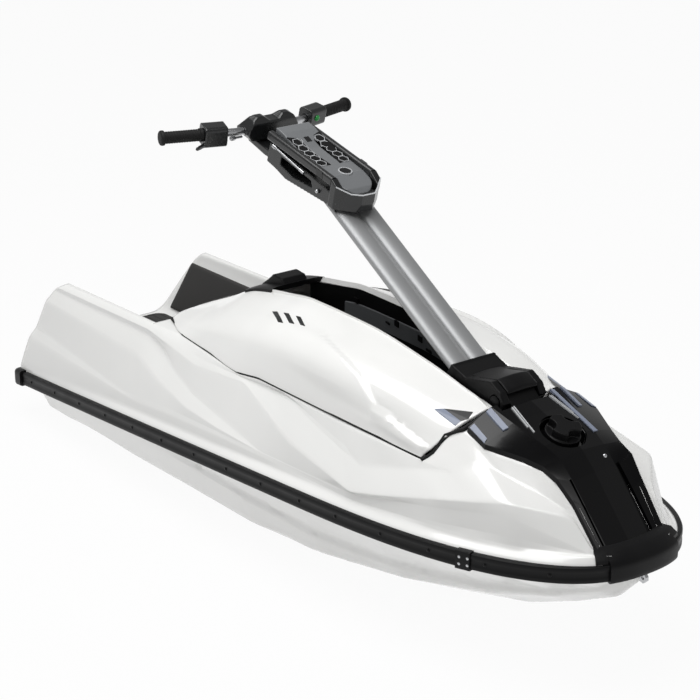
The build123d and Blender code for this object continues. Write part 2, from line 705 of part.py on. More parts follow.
# Handle pole: everything on it is drawn in a plane at the pivot, x along the pole, y square to it
PIVOT_X = fore(473)
PIVOT_Z = 588
POLE_ANGLE = 31.6
POLE_DROP = 64
POLE_START = 128
POLE_END = 800
POLE_LOBE = 63
POLE_DEPTH = 30
LOBE_ROUND = 13
POLE_WEB = 20
PIN_DIAMETER = 20
PIN_CLEARANCE = 0.05
PIN_HEAD = 16
PIN_SINK = 7
LUG_RADIUS = 34
LUG_INNER_Y = 49
BRACKET_HALF_WIDTH = 46
COLLAR_PROUD = 7
COLLAR_LENGTH = 37
RING_LENGTH = 20
RING_PROUD = 2

pole_plane = Plane(
    origin=(PIVOT_X, 0, PIVOT_Z),
    x_dir=(-cos(radians(POLE_ANGLE)), 0, sin(radians(POLE_ANGLE))),
    z_dir=(0, 1, 0),
)
pole_section = Plane(
    origin=pole_plane.from_local_coords((POLE_START, -POLE_DROP, 0)),
    x_dir=(0, 1, 0),
    z_dir=pole_plane.x_dir,
)


def pole_profile(gap):
    """Cross-section of the extrusion: two flat tubes side by side with a groove between, let out by a gap."""
    with BuildSketch(pole_section) as profile:
        with Locations((-POLE_LOBE / 2, 0), (POLE_LOBE / 2, 0)):
            RectangleRounded(POLE_LOBE + 2 * gap, POLE_DEPTH + 2 * gap, LOBE_ROUND + gap)
        Rectangle(POLE_LOBE, POLE_WEB + 2 * gap)
    return profile.sketch


with BuildPart() as pole_extrusion:
    extrude(pole_profile(0), amount=POLE_END - POLE_START)

collar_low = -POLE_DROP - POLE_DEPTH / 2 - COLLAR_PROUD
collar_high = -POLE_DROP + POLE_DEPTH / 2 + COLLAR_PROUD
collar_end = POLE_START + COLLAR_LENGTH
COLLAR_HALF_WIDTH = POLE_LOBE + COLLAR_PROUD
sink_y = COLLAR_HALF_WIDTH - PIN_SINK

with BuildPart() as pole_collar:
    with BuildSketch(pole_plane):
        with BuildLine():
            Polyline(
                (collar_end, collar_low),
                (collar_end, collar_high),
                (POLE_START - 20, collar_high + 12),
                (40, LUG_RADIUS - 2),
                (0, LUG_RADIUS),
                (-LUG_RADIUS * 0.8, LUG_RADIUS * 0.6),
                (-LUG_RADIUS * 0.8, -LUG_RADIUS * 0.6),
                (POLE_START - 70, collar_low + 22),
                (POLE_START - 20, collar_low),
                close=True,
            )
        make_face()
    extrude(amount=COLLAR_HALF_WIDTH, both=True)
    with BuildSketch(pole_plane):
        with Locations((collar_end - RING_LENGTH / 2, (collar_low + collar_high) / 2)):
            Rectangle(RING_LENGTH, collar_high - collar_low + 2 * RING_PROUD)
    extrude(amount=COLLAR_HALF_WIDTH + RING_PROUD, both=True)
    with BuildSketch(pole_plane):
        with Locations((0, -LUG_RADIUS)):
            Rectangle(2 * (POLE_START - 40), 8 * LUG_RADIUS)
    extrude(amount=LUG_INNER_Y, both=True, mode=Mode.SUBTRACT)
    extrude(pole_profile(FIT), amount=COLLAR_LENGTH + 1, mode=Mode.SUBTRACT)
    with BuildSketch(pole_plane):
        Circle(PIN_DIAMETER / 2 + PIN_CLEARANCE)
    extrude(amount=WIDE, both=True, mode=Mode.SUBTRACT)
    for hand in (-1, 1):
        with BuildSketch(pole_plane.offset(hand * sink_y)):
            Circle(PIN_HEAD + 2)
        extrude(amount=hand * WIDE, mode=Mode.SUBTRACT)

with BuildPart() as pole_bracket:
    with BuildSketch(Plane.XZ):
        with BuildLine():
            Polyline(
                (NOTCH_FRONT_X, NOTCH_FLOOR_Z),
                (NOTCH_FRONT_X, PIVOT_Z - 20),
                (PIVOT_X + 8, PIVOT_Z + 24),
                (PIVOT_X - 22, PIVOT_Z + 12),
                (PIVOT_X - 24, PIVOT_Z - 12),
                (PIVOT_X + 34, NOTCH_FLOOR_Z),
                close=True,
            )
        make_face()
    extrude(amount=BRACKET_HALF_WIDTH, both=True)
    with BuildSketch(pole_plane):
        Circle(PIN_DIAMETER / 2 + FIT)
    extrude(amount=WIDE, both=True, mode=Mode.SUBTRACT)

with BuildPart() as pivot_pin:
    with BuildSketch(pole_plane):
        Circle(PIN_DIAMETER / 2)
    extrude(amount=sink_y + SEAT, both=True)
    for hand in (-1, 1):
        with BuildSketch(pole_plane.offset(hand * (sink_y + SEAT))):
            RegularPolygon(PIN_HEAD, 6)
        extrude(amount=hand * PIN_SINK)

# Head of the pole: drawn in a plane along its two side rails, x to the rear, y up
HEAD_PLACE = (785.2, 14.8, 0)
HEAD_ANGLE = 14.2
head_plane = Plane(
    origin=pole_plane.from_local_coords(HEAD_PLACE),
    x_dir=(-cos(radians(HEAD_ANGLE)), 0, sin(radians(HEAD_ANGLE))),
    z_dir=(0, 1, 0),
)
head_up = head_plane.y_dir
RAIL_REAR = 262
RAIL_FRONT = -20
RAIL_TOP_INNER_Y = 54
RAIL_TOP_OUTER_Y = 74
RAIL_TOP_DEPTH = 26
RAIL_ROUND = 8
BASE_HALF_WIDTH = 64
BASE_WALL = 6
BAR_A = 362
STEM_A = BAR_A - 8
STEM_DIAMETER = 26
STEM_CLEARANCE = 0.05
HORN_TOP = -72
HORN_LOW = -94
HORN_HALF_WIDTH = 46
HORN_REAR = BAR_A + 16
BASE_OUTLINE = [
    (RAIL_REAR, HORN_LOW + 4),
    (219, HORN_LOW),
    (175, -102),
    (-6, -84),
    (-40, -77),
    (-40, -48),
    (RAIL_REAR - 4, -32),
    (RAIL_REAR, HORN_TOP),
]
BASE_HOLLOW = [(-30, 0), (-30, -69), (175, -93), (219, -85), (250, -72), (250, 0)]
WINDOW = [(60, -70), (150, -82), (205, -74), (205, -50), (70, -54)]

with BuildPart() as head_base:
    extrude(side_view(BASE_OUTLINE, head_plane), amount=BASE_HALF_WIDTH, both=True)
    extrude(side_view(BASE_HOLLOW, head_plane), amount=BASE_HALF_WIDTH - BASE_WALL, both=True, mode=Mode.SUBTRACT)
    extrude(side_view(WINDOW, head_plane), amount=WIDE, both=True, mode=Mode.SUBTRACT)
    horn = [(HORN_REAR, HORN_TOP), (HORN_REAR, HORN_LOW + 6), (BAR_A - 62, HORN_LOW), (RAIL_REAR - 12, HORN_LOW + 3)]
    extrude(side_view(horn + [(RAIL_REAR - 12, HORN_TOP)], head_plane), amount=HORN_HALF_WIDTH, both=True)
    with BuildSketch(Plane(head_plane.from_local_coords((STEM_A, HORN_LOW - 5, 0)), z_dir=head_up)):
        Circle(STEM_DIAMETER / 2 + STEM_CLEARANCE)
    extrude(amount=HORN_TOP - HORN_LOW + 10, mode=Mode.SUBTRACT)
    extrude(pole_profile(FIT), amount=POLE_END - POLE_START + FIT, mode=Mode.SUBTRACT)

# Cover between the rails: a tongue with a round front end and two long vent wells
COVER_TOP = [(-70, -36), (-52, -24), (6, -12), (150, -8), (225, 8), (256, 10)]
COVER_UNDER = [(256, -26), (20, -40), (-62, -44)]
COVER_HALF_WIDTH = RAIL_TOP_INNER_Y - FIT
COVER_TIP_X = -70
VENT_Y = 30
VENT_WIDTH = 24
VENT_REAR = 196
VENT_FRONT = 62
VENT_DEPTH = 7
head_top = Plane(head_plane.origin, x_dir=head_plane.x_dir, z_dir=head_up)

with BuildPart() as head_cover:
    extrude(side_view(COVER_TOP + COVER_UNDER, head_plane), amount=COVER_HALF_WIDTH, both=True)
    with BuildSketch(head_top.offset(-RAIL_REAR)):
        with Locations((COVER_TIP_X + RAIL_REAR, 0)):
            SlotOverall(2 * RAIL_REAR, 2 * COVER_HALF_WIDTH)
    extrude(amount=2 * RAIL_REAR, mode=Mode.INTERSECT)
    with BuildSketch(head_top.offset(-8 - VENT_DEPTH)):
        for hand in (-1, 1):
            with Locations(((VENT_FRONT + VENT_REAR) / 2, hand * VENT_Y)):
                Trapezoid(VENT_REAR - VENT_FRONT, VENT_WIDTH, 55, 55)
    extrude(amount=RAIL_REAR, mode=Mode.SUBTRACT)

with BuildPart() as head_rails:
    with BuildSketch(Plane(head_plane.from_local_coords((RAIL_FRONT, 0, 0)), x_dir=(0, -1, 0), z_dir=head_plane.x_dir)):
        rail_y = (RAIL_TOP_INNER_Y + RAIL_TOP_OUTER_Y) / 2
        with Locations((-rail_y, -RAIL_TOP_DEPTH / 2), (rail_y, -RAIL_TOP_DEPTH / 2)):
            RectangleRounded(RAIL_TOP_OUTER_Y - RAIL_TOP_INNER_Y, RAIL_TOP_DEPTH, RAIL_ROUND)
    extrude(amount=RAIL_REAR - RAIL_FRONT)

# Nose of the head: a faceted bow in front of the rails that closes round the cover's tip
NOSE_TIP = -92
NOSE_TIP_HALF_WIDTH = 20
NOSE_SIDE = -44
NOSE_LOW = -79
NOSE_TOP = 2
nose_plan = [
    (RAIL_FRONT - FIT, -RAIL_TOP_OUTER_Y),
    (NOSE_SIDE, -RAIL_TOP_OUTER_Y),
    (NOSE_TIP, -NOSE_TIP_HALF_WIDTH),
    (NOSE_TIP, NOSE_TIP_HALF_WIDTH),
    (NOSE_SIDE, RAIL_TOP_OUTER_Y),
    (RAIL_FRONT - FIT, RAIL_TOP_OUTER_Y),
]

with BuildPart() as head_nose:
    extrude(side_view(nose_plan, head_top.offset(NOSE_LOW)), amount=NOSE_TOP - NOSE_LOW)
    nose_slope = [(-72, -28), (-50, -18), (20, 20), (-100, 20), (-100, -24)]
    extrude(side_view(nose_slope, head_plane), amount=WIDE, both=True, mode=Mode.SUBTRACT)
    nose_chin = [(NOSE_TIP - 1, -52), (NOSE_TIP + 8, NOSE_LOW - 1), (NOSE_TIP - 1, NOSE_LOW - 1)]
    extrude(side_view(nose_chin, head_plane), amount=WIDE, both=True, mode=Mode.SUBTRACT)
    cover_room = [(-72, -47), (0, -44), (0, 30), (-72, 30)]
    extrude(side_view(cover_room, head_plane), amount=RAIL_TOP_INNER_Y, both=True, mode=Mode.SUBTRACT)
    extrude(side_view(BASE_OUTLINE, head_plane), amount=BASE_HALF_WIDTH + FIT, both=True, mode=Mode.SUBTRACT)
    extrude(pole_profile(FIT), amount=POLE_END - POLE_START + FIT, mode=Mode.SUBTRACT)

# Handlebar: a bent tube under a two-lobed cover, on a stem that turns in the horn of the head
BAR_B = -46
BAR_DIAMETER = 22
BAR_HALF_WIDTH = 312
BAR_BEND_Y = 100
BAR_SWEEP = 51
BAR_END_DROP = 7
BAR_BEND_RADIUS = 60
GRIP_LENGTH = 118
GRIP_DIAMETER = 33
GRIP_FLANGE = 41
GRIP_FLANGE_WIDTH = 8
GRIP_END = 2
COVER_FRONT = BAR_A - 32
COVER_REAR = BAR_A + 30
COVER_LOW = HORN_TOP + 5
COVER_HIGH = -1
COVER_Y = 82

bar_points = [
    head_plane.from_local_coords((BAR_A + BAR_SWEEP, BAR_B - BAR_END_DROP, -BAR_HALF_WIDTH)),
    head_plane.from_local_coords((BAR_A, BAR_B, -BAR_BEND_Y)),
    head_plane.from_local_coords((BAR_A, BAR_B, BAR_BEND_Y)),
    head_plane.from_local_coords((BAR_A + BAR_SWEEP, BAR_B - BAR_END_DROP, BAR_HALF_WIDTH)),
]
starboard_out = (bar_points[0] - bar_points[1]).normalized()
port_out = (bar_points[3] - bar_points[2]).normalized()

with BuildPart() as handlebar_tube:
    with BuildLine() as bar_path:
        FilletPolyline(*bar_points, radius=BAR_BEND_RADIUS)
    with BuildSketch(Plane(bar_points[0], z_dir=-starboard_out)):
        Circle(BAR_DIAMETER / 2)
    sweep(path=bar_path.wire())

with BuildPart() as bar_cover:
    cover_side = [
        (COVER_FRONT, COVER_LOW),
        (COVER_REAR - 12, COVER_LOW),
        (COVER_REAR, COVER_LOW + 22),
        (COVER_REAR - 10, COVER_HIGH - 34),
        (COVER_FRONT + 32, COVER_HIGH),
        (COVER_FRONT + 12, COVER_HIGH),
        (COVER_FRONT, COVER_HIGH - 16),
    ]
    extrude(side_view(cover_side, head_plane), amount=COVER_Y, both=True)
    cover_end = Plane(head_plane.from_local_coords((COVER_FRONT, 0, 0)), x_dir=(0, -1, 0), z_dir=head_plane.x_dir)
    lobes = [
        (COVER_Y - 14, COVER_LOW),
        (COVER_Y, COVER_LOW + 18),
        (COVER_Y, COVER_HIGH - 34),
        (COVER_Y - 15, COVER_HIGH - 8),
        (COVER_Y - 30, COVER_HIGH),
        (32, COVER_HIGH),
        (14, COVER_HIGH - 12),
    ]
    extrude(side_view(both_sides(lobes), cover_end), amount=COVER_REAR - COVER_FRONT, mode=Mode.INTERSECT)
    with BuildLine() as bore_path:
        FilletPolyline(*bar_points, radius=BAR_BEND_RADIUS)
    with BuildSketch(Plane(bar_points[0], z_dir=-starboard_out)):
        Circle(BAR_DIAMETER / 2 + FIT)
    sweep(path=bore_path.wire(), mode=Mode.SUBTRACT)
    with BuildSketch(Plane(head_plane.from_local_coords((STEM_A, HORN_LOW, 0)), z_dir=head_up)):
        Circle(STEM_DIAMETER / 2)
    extrude(amount=COVER_LOW - HORN_LOW + 1)


def bar_piece(out, distance):
    """Plane square to the bar's outer run, at a distance outboard of the bend."""
    bend = bar_points[1] if out is starboard_out else bar_points[2]
    return Plane(bend + out * distance, x_dir=head_up, z_dir=out)


BAR_RUN = (bar_points[0] - bar_points[1]).length
GRIP_START = BAR_RUN - GRIP_LENGTH
HOUSING_LENGTH = 64
HOUSING_START = GRIP_START - HOUSING_LENGTH - 1
HOUSING_SIZE = 58
HOUSING_ROUND = 12
bore = BAR_DIAMETER / 2 + FIT
LEVER_THICKNESS = 9
LEVER_DROP = 24
LEVER = [(16, 18), (HOUSING_LENGTH - 6, 22), (HOUSING_LENGTH + 26, 42), (HOUSING_LENGTH + 31, 37), (HOUSING_LENGTH, 12), (16, 8)]

grips = {}
for name, out in (("grip_starboard", starboard_out), ("grip_port", port_out)):
    with BuildPart() as grip:
        with BuildSketch(bar_piece(out, GRIP_START)):
            Circle(GRIP_DIAMETER / 2)
        extrude(amount=GRIP_LENGTH)
        with BuildSketch(bar_piece(out, BAR_RUN - GRIP_FLANGE_WIDTH)):
            Circle(GRIP_FLANGE / 2)
        extrude(amount=GRIP_FLANGE_WIDTH + GRIP_END)
        with BuildSketch(bar_piece(out, GRIP_START - 1)):
            Circle(bore)
        extrude(amount=GRIP_LENGTH + 1 + FIT, mode=Mode.SUBTRACT)
    grips[name] = grip.part

with BuildPart() as throttle_housing:
    with BuildSketch(bar_piece(starboard_out, HOUSING_START)):
        with Locations((-2, 0)):
            RectangleRounded(HOUSING_SIZE, HOUSING_SIZE - 6, HOUSING_ROUND)
    extrude(amount=HOUSING_LENGTH)
    lever_seat = bar_piece(starboard_out, HOUSING_START)
    lever_plane = Plane(lever_seat.from_local_coords((-LEVER_DROP, 0, 0)), x_dir=starboard_out, z_dir=head_up)
    extrude(side_view(LEVER, lever_plane), amount=LEVER_THICKNESS / 2, both=True)
    with BuildSketch(bar_piece(starboard_out, HOUSING_START - 1)):
        Circle(bore)
    extrude(amount=HOUSING_LENGTH + 2, mode=Mode.SUBTRACT)

with BuildPart() as switch_housing:
    with BuildSketch(bar_piece(port_out, HOUSING_START)):
        with Locations((2, 0)):
            RectangleRounded(HOUSING_SIZE - 6, HOUSING_SIZE - 10, HOUSING_ROUND)
        Circle(bore, mode=Mode.SUBTRACT)
    extrude(amount=HOUSING_LENGTH)

# Pump, impeller and steering nozzle, turned about the jet's axis
pump_line = Plane(origin=(0, 0, PUMP_AXIS_Z), x_dir=(0, 1, 0), z_dir=(-1, 0, 0))
pump_axis = Axis((0, 0, PUMP_AXIS_Z), (1, 0, 0))


def turned(profile):
    """Half profile for a revolve: places along the boat and radii about the jet's axis."""
    return side_view([(x, PUMP_AXIS_Z + radius) for x, radius in profile])


with BuildPart() as pump_housing:
    with BuildSketch(pump_line.offset(-TUNNEL_FRONT_X)):
        Circle(PUMP_OUTSIDE / 2)
        Circle(PUMP_BORE / 2, mode=Mode.SUBTRACT)
    extrude(amount=TUNNEL_FRONT_X - PUMP_REAR_X)

with BuildPart() as impeller:
    with BuildSketch(pump_line.offset(-IMPELLER_FRONT_X)):
        Circle(IMPELLER_HUB / 2)
    extrude(amount=IMPELLER_LENGTH)
    for blade in range(IMPELLER_BLADES):
        middle = (IMPELLER_FRONT_X - IMPELLER_LENGTH / 2, 0, PUMP_AXIS_Z)
        root = Plane(middle) * Rot(X=360 / IMPELLER_BLADES * blade) * Rot(Z=BLADE_PITCH)
        with BuildSketch(root):
            Rectangle(IMPELLER_LENGTH, BLADE_THICKNESS)
        extrude(amount=PUMP_BORE / 2 - IMPELLER_GAP)
    with BuildSketch(pump_line.offset(-SHAFT_FRONT_X)):
        Circle(SHAFT_DIAMETER / 2)
    extrude(amount=SHAFT_FRONT_X - SHAFT_REAR_X)
    with BuildSketch(pump_line.offset(-SHAFT_FRONT_X)):
        Circle(PUMP_BORE / 2 - IMPELLER_GAP)
    extrude(amount=SHAFT_FRONT_X - SHAFT_REAR_X, mode=Mode.INTERSECT)

tip_radius = OUTLET_TIP_OUTSIDE / 2
hub_radius = IMPELLER_HUB / 2
shaft_radius = SHAFT_DIAMETER / 2 + SHAFT_CLEARANCE
socket_end_x = SHAFT_REAR_X - 3

with BuildPart() as pump_outlet:
    outlet_wall = [
        (PUMP_REAR_X, PUMP_OUTSIDE / 2),
        (OUTLET_X, PUMP_OUTSIDE / 2),
        (CONE_END_X, tip_radius),
        (OUTLET_TIP_X, tip_radius),
        (OUTLET_TIP_X, tip_radius - OUTLET_WALL),
        (CONE_END_X, tip_radius - OUTLET_WALL),
        (OUTLET_X, PUMP_BORE / 2),
        (PUMP_REAR_X, PUMP_BORE / 2),
    ]
    revolve(turned(outlet_wall), axis=pump_axis)
    hub = [
        (PUMP_REAR_X, shaft_radius),
        (PUMP_REAR_X, hub_radius),
        (OUTLET_X, hub_radius),
        (OUTLET_X - TAIL_CONE_LENGTH, TAIL_CONE_TIP / 2),
        (OUTLET_X - TAIL_CONE_LENGTH, 0),
        (socket_end_x, 0),
        (socket_end_x, shaft_radius),
    ]
    revolve(turned(hub), axis=pump_axis)
    for vane in range(STATOR_VANES):
        vane_root = Plane((PUMP_REAR_X, 0, PUMP_AXIS_Z)) * Rot(X=360 / STATOR_VANES * vane) * Pos(Z=hub_radius - 2)
        with BuildSketch(vane_root):
            with Locations(((OUTLET_X - PUMP_REAR_X) / 2, 0)):
                Rectangle(PUMP_REAR_X - OUTLET_X, BLADE_THICKNESS)
        extrude(amount=PUMP_BORE / 2 - hub_radius + 4)
    pin_reach = NOZZLE_INSIDE / 2 + NOZZLE_WALL
    for hand in (-1, 1):
        with BuildSketch(Plane.XY.offset(PUMP_AXIS_Z + hand * (tip_radius - 4))):
            with Locations((NOZZLE_PIN_X, 0)):
                Circle(NOZZLE_PIN / 2)
        extrude(amount=hand * (pin_reach - tip_radius + 4))

ARM_REACH = 26
ARM_LENGTH = 24
ARM_THICKNESS = 8
ARM_HOLE = 8

with BuildPart() as steering_nozzle:
    nozzle_wall = [
        (NOZZLE_FRONT_X, NOZZLE_INSIDE / 2 + NOZZLE_WALL),
        (NOZZLE_REAR_X, NOZZLE_TIP_INSIDE / 2 + NOZZLE_WALL),
        (NOZZLE_REAR_X, NOZZLE_TIP_INSIDE / 2),
        (NOZZLE_FRONT_X, NOZZLE_INSIDE / 2),
    ]
    revolve(turned(nozzle_wall), axis=pump_axis)
    with BuildSketch(Plane.XY.offset(PUMP_AXIS_Z)):
        with Locations((NOZZLE_FRONT_X - ARM_LENGTH / 2, -NOZZLE_INSIDE / 2 - ARM_REACH / 2)):
            Rectangle(ARM_LENGTH, ARM_REACH)
            with Locations((0, -ARM_REACH / 4)):
                Circle(ARM_HOLE / 2, mode=Mode.SUBTRACT)
    extrude(amount=ARM_THICKNESS / 2, both=True)
    with BuildSketch(Plane.XY):
        with Locations((NOZZLE_PIN_X, 0)):
            Circle(NOZZLE_PIN / 2 + PIN_CLEARANCE)
    extrude(amount=TUNNEL_TOP_Z, mode=Mode.SUBTRACT)

with BuildPart() as ride_plate:
    with BuildSketch():
        with Locations(((RIDE_PLATE_REAR_X + TUNNEL_FRONT_X) / 2, 0)):
            Rectangle(TUNNEL_FRONT_X - RIDE_PLATE_REAR_X, 2 * TUNNEL_HALF_WIDTH)
    extrude(amount=RIDE_PLATE_THICKNESS)

GRATE_BARS = 4
GRATE_THICKNESS = 10
GRATE_FRAME = 10
GRATE_BAR = 8
GRATE_SHORT = 60

with BuildPart() as intake_grate:
    grate_length = INTAKE_FRONT_X - INTAKE_REAR_X - GRATE_SHORT
    with BuildSketch():
        with Locations((INTAKE_REAR_X + grate_length / 2, 0)):
            Rectangle(grate_length, 2 * INTAKE_HALF_WIDTH)
            gap = (2 * INTAKE_HALF_WIDTH - 2 * GRATE_FRAME - GRATE_BARS * GRATE_BAR) / (GRATE_BARS + 1)
            with GridLocations(0, gap + GRATE_BAR, 1, GRATE_BARS + 1):
                Rectangle(grate_length - 2 * GRATE_FRAME, gap, mode=Mode.SUBTRACT)
    extrude(amount=GRATE_THICKNESS)

# Towing eye under the bow cap, tie-down eyes and drain plugs on the transom
EYE_THICKNESS = 10
BOW_EYE_HOLE = 9
BOW_EYE_REACH = 19
BOW_EYE_TOP = SHEER_BOW_Z - RAIL_HEIGHT - CAP_TAKE - 3
STERN_EYE_HOLE = 11
STERN_EYE_REACH = 16
STERN_EYE_HEIGHT = 36
STERN_EYE_Y = 190
STERN_EYE_Z = 78
PLUG_Y = 150
PLUG_DIAMETER = 24
PLUG_HEIGHT = 7

with BuildPart() as bow_eye:
    stem_x, stem_z = HULL_ROWS[-1][0], HULL_ROWS[-1][2]
    eye_middle = ((stem_x + stem_x + BOW_EYE_REACH) / 2, (BOW_EYE_TOP + stem_z) / 2)
    eye_outline = [
        (stem_x, stem_z + 1),
        (stem_x, BOW_EYE_TOP),
        (stem_x + BOW_EYE_REACH * 0.7, BOW_EYE_TOP),
        (stem_x + BOW_EYE_REACH, BOW_EYE_TOP - 8),
        (stem_x + BOW_EYE_REACH, stem_z + 6),
        (stem_x + BOW_EYE_REACH * 0.6, stem_z - 2),
    ]
    extrude(side_view(eye_outline), amount=EYE_THICKNESS / 2, both=True)
    with BuildSketch(Plane.XZ):
        with Locations(eye_middle):
            Circle(BOW_EYE_HOLE / 2)
    extrude(amount=EYE_THICKNESS, both=True, mode=Mode.SUBTRACT)

with BuildPart() as stern_eyes:
    for hand in (-1, 1):
        with BuildSketch(Plane.XZ.offset(-hand * STERN_EYE_Y)):
            with Locations((TRANSOM_X - STERN_EYE_REACH / 2, STERN_EYE_Z)):
                Rectangle(STERN_EYE_REACH, STERN_EYE_HEIGHT)
                Circle(STERN_EYE_HOLE / 2, mode=Mode.SUBTRACT)
        extrude(amount=EYE_THICKNESS / 2, both=True)

with BuildPart() as drain_plugs:
    with BuildSketch(Plane.YZ.offset(TRANSOM_X)):
        with Locations((-PLUG_Y, STERN_EYE_Z), (PLUG_Y, STERN_EYE_Z)):
            Circle(PLUG_DIAMETER / 2)
    extrude(amount=-PLUG_HEIGHT)

os.makedirs("parts", exist_ok=True)
PIECES = {
    "hull_bottom": hull_bottom.part,
    "deck": deck.part,
    "nose_panel": nose_panel.part,
    "filler_neck": filler_neck.part,
    "fuel_cap": fuel_cap.part,
    "rail_starboard": rail_starboard.part,
    "rail_port": rail_port.part,
    "rail_bow": rail_bow.part,
    "rail_stern": rail_stern.part,
    "bow_bumper": bow_bumper.part,
    "engine_block": engine_block.part,
    "tray_mat": tray_mat.part,
    **gunwale_pads,
    "hood": hood.part,
    "hood_liner": hood_liner.part,
    "hood_rest": hood_rest.part,
    "pole_extrusion": pole_extrusion.part,
    "pole_collar": pole_collar.part,
    "pole_bracket": pole_bracket.part,
    "pivot_pin": pivot_pin.part,
    "head_base": head_base.part,
    "head_cover": head_cover.part,
    "head_rails": head_rails.part,
    "head_nose": head_nose.part,
    "handlebar_tube": handlebar_tube.part,
    "bar_cover": bar_cover.part,
    **grips,
    "throttle_housing": throttle_housing.part,
    "switch_housing": switch_housing.part,
    "pump_housing": pump_housing.part,
    "impeller": impeller.part,
    "pump_outlet": pump_outlet.part,
    "steering_nozzle": steering_nozzle.part,
    "ride_plate": ride_plate.part,
    "intake_grate": intake_grate.part,
    "bow_eye": bow_eye.part,
    "stern_eyes": stern_eyes.part,
    "drain_plugs": drain_plugs.part,
}
for name, piece in PIECES.items():
    piece.label = name
    export_step(piece, f"parts/{name}.step")
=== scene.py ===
import json

import bmesh
import bpy
import numpy as np
from mathutils import Matrix

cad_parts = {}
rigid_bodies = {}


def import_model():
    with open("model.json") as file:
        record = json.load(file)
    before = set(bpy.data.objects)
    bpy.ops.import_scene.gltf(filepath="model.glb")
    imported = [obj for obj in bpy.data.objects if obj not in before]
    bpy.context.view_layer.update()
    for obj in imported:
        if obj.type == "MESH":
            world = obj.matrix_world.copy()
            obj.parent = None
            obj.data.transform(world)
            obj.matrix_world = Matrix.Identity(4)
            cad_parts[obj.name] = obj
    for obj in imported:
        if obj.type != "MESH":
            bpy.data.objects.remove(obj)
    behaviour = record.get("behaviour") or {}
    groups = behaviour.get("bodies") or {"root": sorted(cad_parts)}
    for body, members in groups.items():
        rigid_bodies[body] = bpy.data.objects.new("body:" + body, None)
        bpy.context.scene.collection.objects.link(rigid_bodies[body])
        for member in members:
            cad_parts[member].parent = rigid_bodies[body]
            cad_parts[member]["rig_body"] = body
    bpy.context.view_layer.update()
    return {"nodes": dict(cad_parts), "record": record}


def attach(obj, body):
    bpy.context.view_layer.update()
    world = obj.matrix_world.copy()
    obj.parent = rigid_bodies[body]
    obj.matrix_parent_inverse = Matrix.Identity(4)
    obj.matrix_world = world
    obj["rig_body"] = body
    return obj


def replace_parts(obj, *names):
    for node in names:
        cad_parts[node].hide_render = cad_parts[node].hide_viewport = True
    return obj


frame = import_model()
nodes = frame["nodes"]

# Studio. The craft stands on a white floor under a white sky that darkens overhead, with one wide soft box over its
# starboard side. The camera is off the starboard bow with a long lens, as in the photograph.
CAMERA_EYE = (4.19682, -3.23049, 2.45073)
CAMERA_RIGHT = (0.61277, 0.79026, 0.0)
CAMERA_UP = (-0.28912, 0.22418, 0.93067)
CAMERA_BACK = (0.73548, -0.57029, 0.36585)
SKY_AT_HORIZON = 0.6
SKY_OVERHEAD = 0.16
SKY_DARK_FROM = 0.9
FLOOR_REACH = 40.0
# Share of plain white in the floor as it is seen, the rest being lit paper that keeps the shadow
FLOOR_WHITE = 0.95

scene = bpy.context.scene
scene.view_settings.view_transform = "Standard"
camera_data = bpy.data.cameras.new("camera")
camera_data.sensor_width = 36
camera_data.lens = 106.89
camera_data.shift_x, camera_data.shift_y = 0.01806, 0.05967
camera_data.clip_end = 60
camera = bpy.data.objects.new("camera", camera_data)
axes = Matrix((CAMERA_RIGHT, CAMERA_UP, CAMERA_BACK)).transposed().to_4x4()
camera.matrix_world = Matrix.Translation(CAMERA_EYE) @ axes
scene.collection.objects.link(camera)
scene.camera = camera


def add(tree, kind, links=(), **values):
    """One shader node: its properties and sockets by name, and links as (own socket, other node, other socket)."""
    node = tree.nodes.new("ShaderNode" + kind)
    for key, value in values.items():
        if hasattr(node, key):
            setattr(node, key, value)
        else:
            node.inputs[key.replace("_", " ")].default_value = value
    for own, other, out in links:
        tree.links.new(other.outputs[out], node.inputs[own])
    return node


def srgb(code):
    """Linear colour of an sRGB hex code."""
    parts = np.array([int(code[i:i + 2], 16) for i in (0, 2, 4)]) / 255
    linear = np.where(parts <= 0.04045, parts / 12.92, ((parts + 0.055) / 1.055) ** 2.4)
    return (*linear.tolist(), 1.0)


world = bpy.data.worlds.new("white_sky")
world.use_nodes = True
scene.world = world
sky_tree = world.node_tree
sky = sky_tree.nodes["Background"]
sky.inputs["Color"].default_value = (1, 1, 1, 1)
toward = add(sky_tree, "TexCoord")
height = add(sky_tree, "SeparateXYZ", [("Vector", toward, "Generated")])
fade = add(sky_tree, "MapRange", [("Value", height, "Z")], From_Min=0.0, From_Max=SKY_DARK_FROM,
           To_Min=SKY_AT_HORIZON, To_Max=SKY_OVERHEAD)
sky_tree.links.new(fade.outputs[0], sky.inputs["Strength"])

light_data = bpy.data.lights.new("soft_box", "AREA")
light_data.shape = "RECTANGLE"
light_data.size, light_data.size_y = 4.0, 3.0
light_data.energy = 165
light = bpy.data.objects.new("soft_box", light_data)
light.location = (0.0, -1.0, 4.2)
light.rotation_euler = (0.24, 0.0, 0.0)
scene.collection.objects.link(light)

floor_mesh = bpy.data.meshes.new("floor")
corners = FLOOR_REACH * np.array([(-1, -1, 0), (1, -1, 0), (1, 1, 0), (-1, 1, 0)])
floor_mesh.from_pydata(corners.tolist(), [], [(0, 1, 2, 3)])
floor = bpy.data.objects.new("floor", floor_mesh)
scene.collection.objects.link(floor)
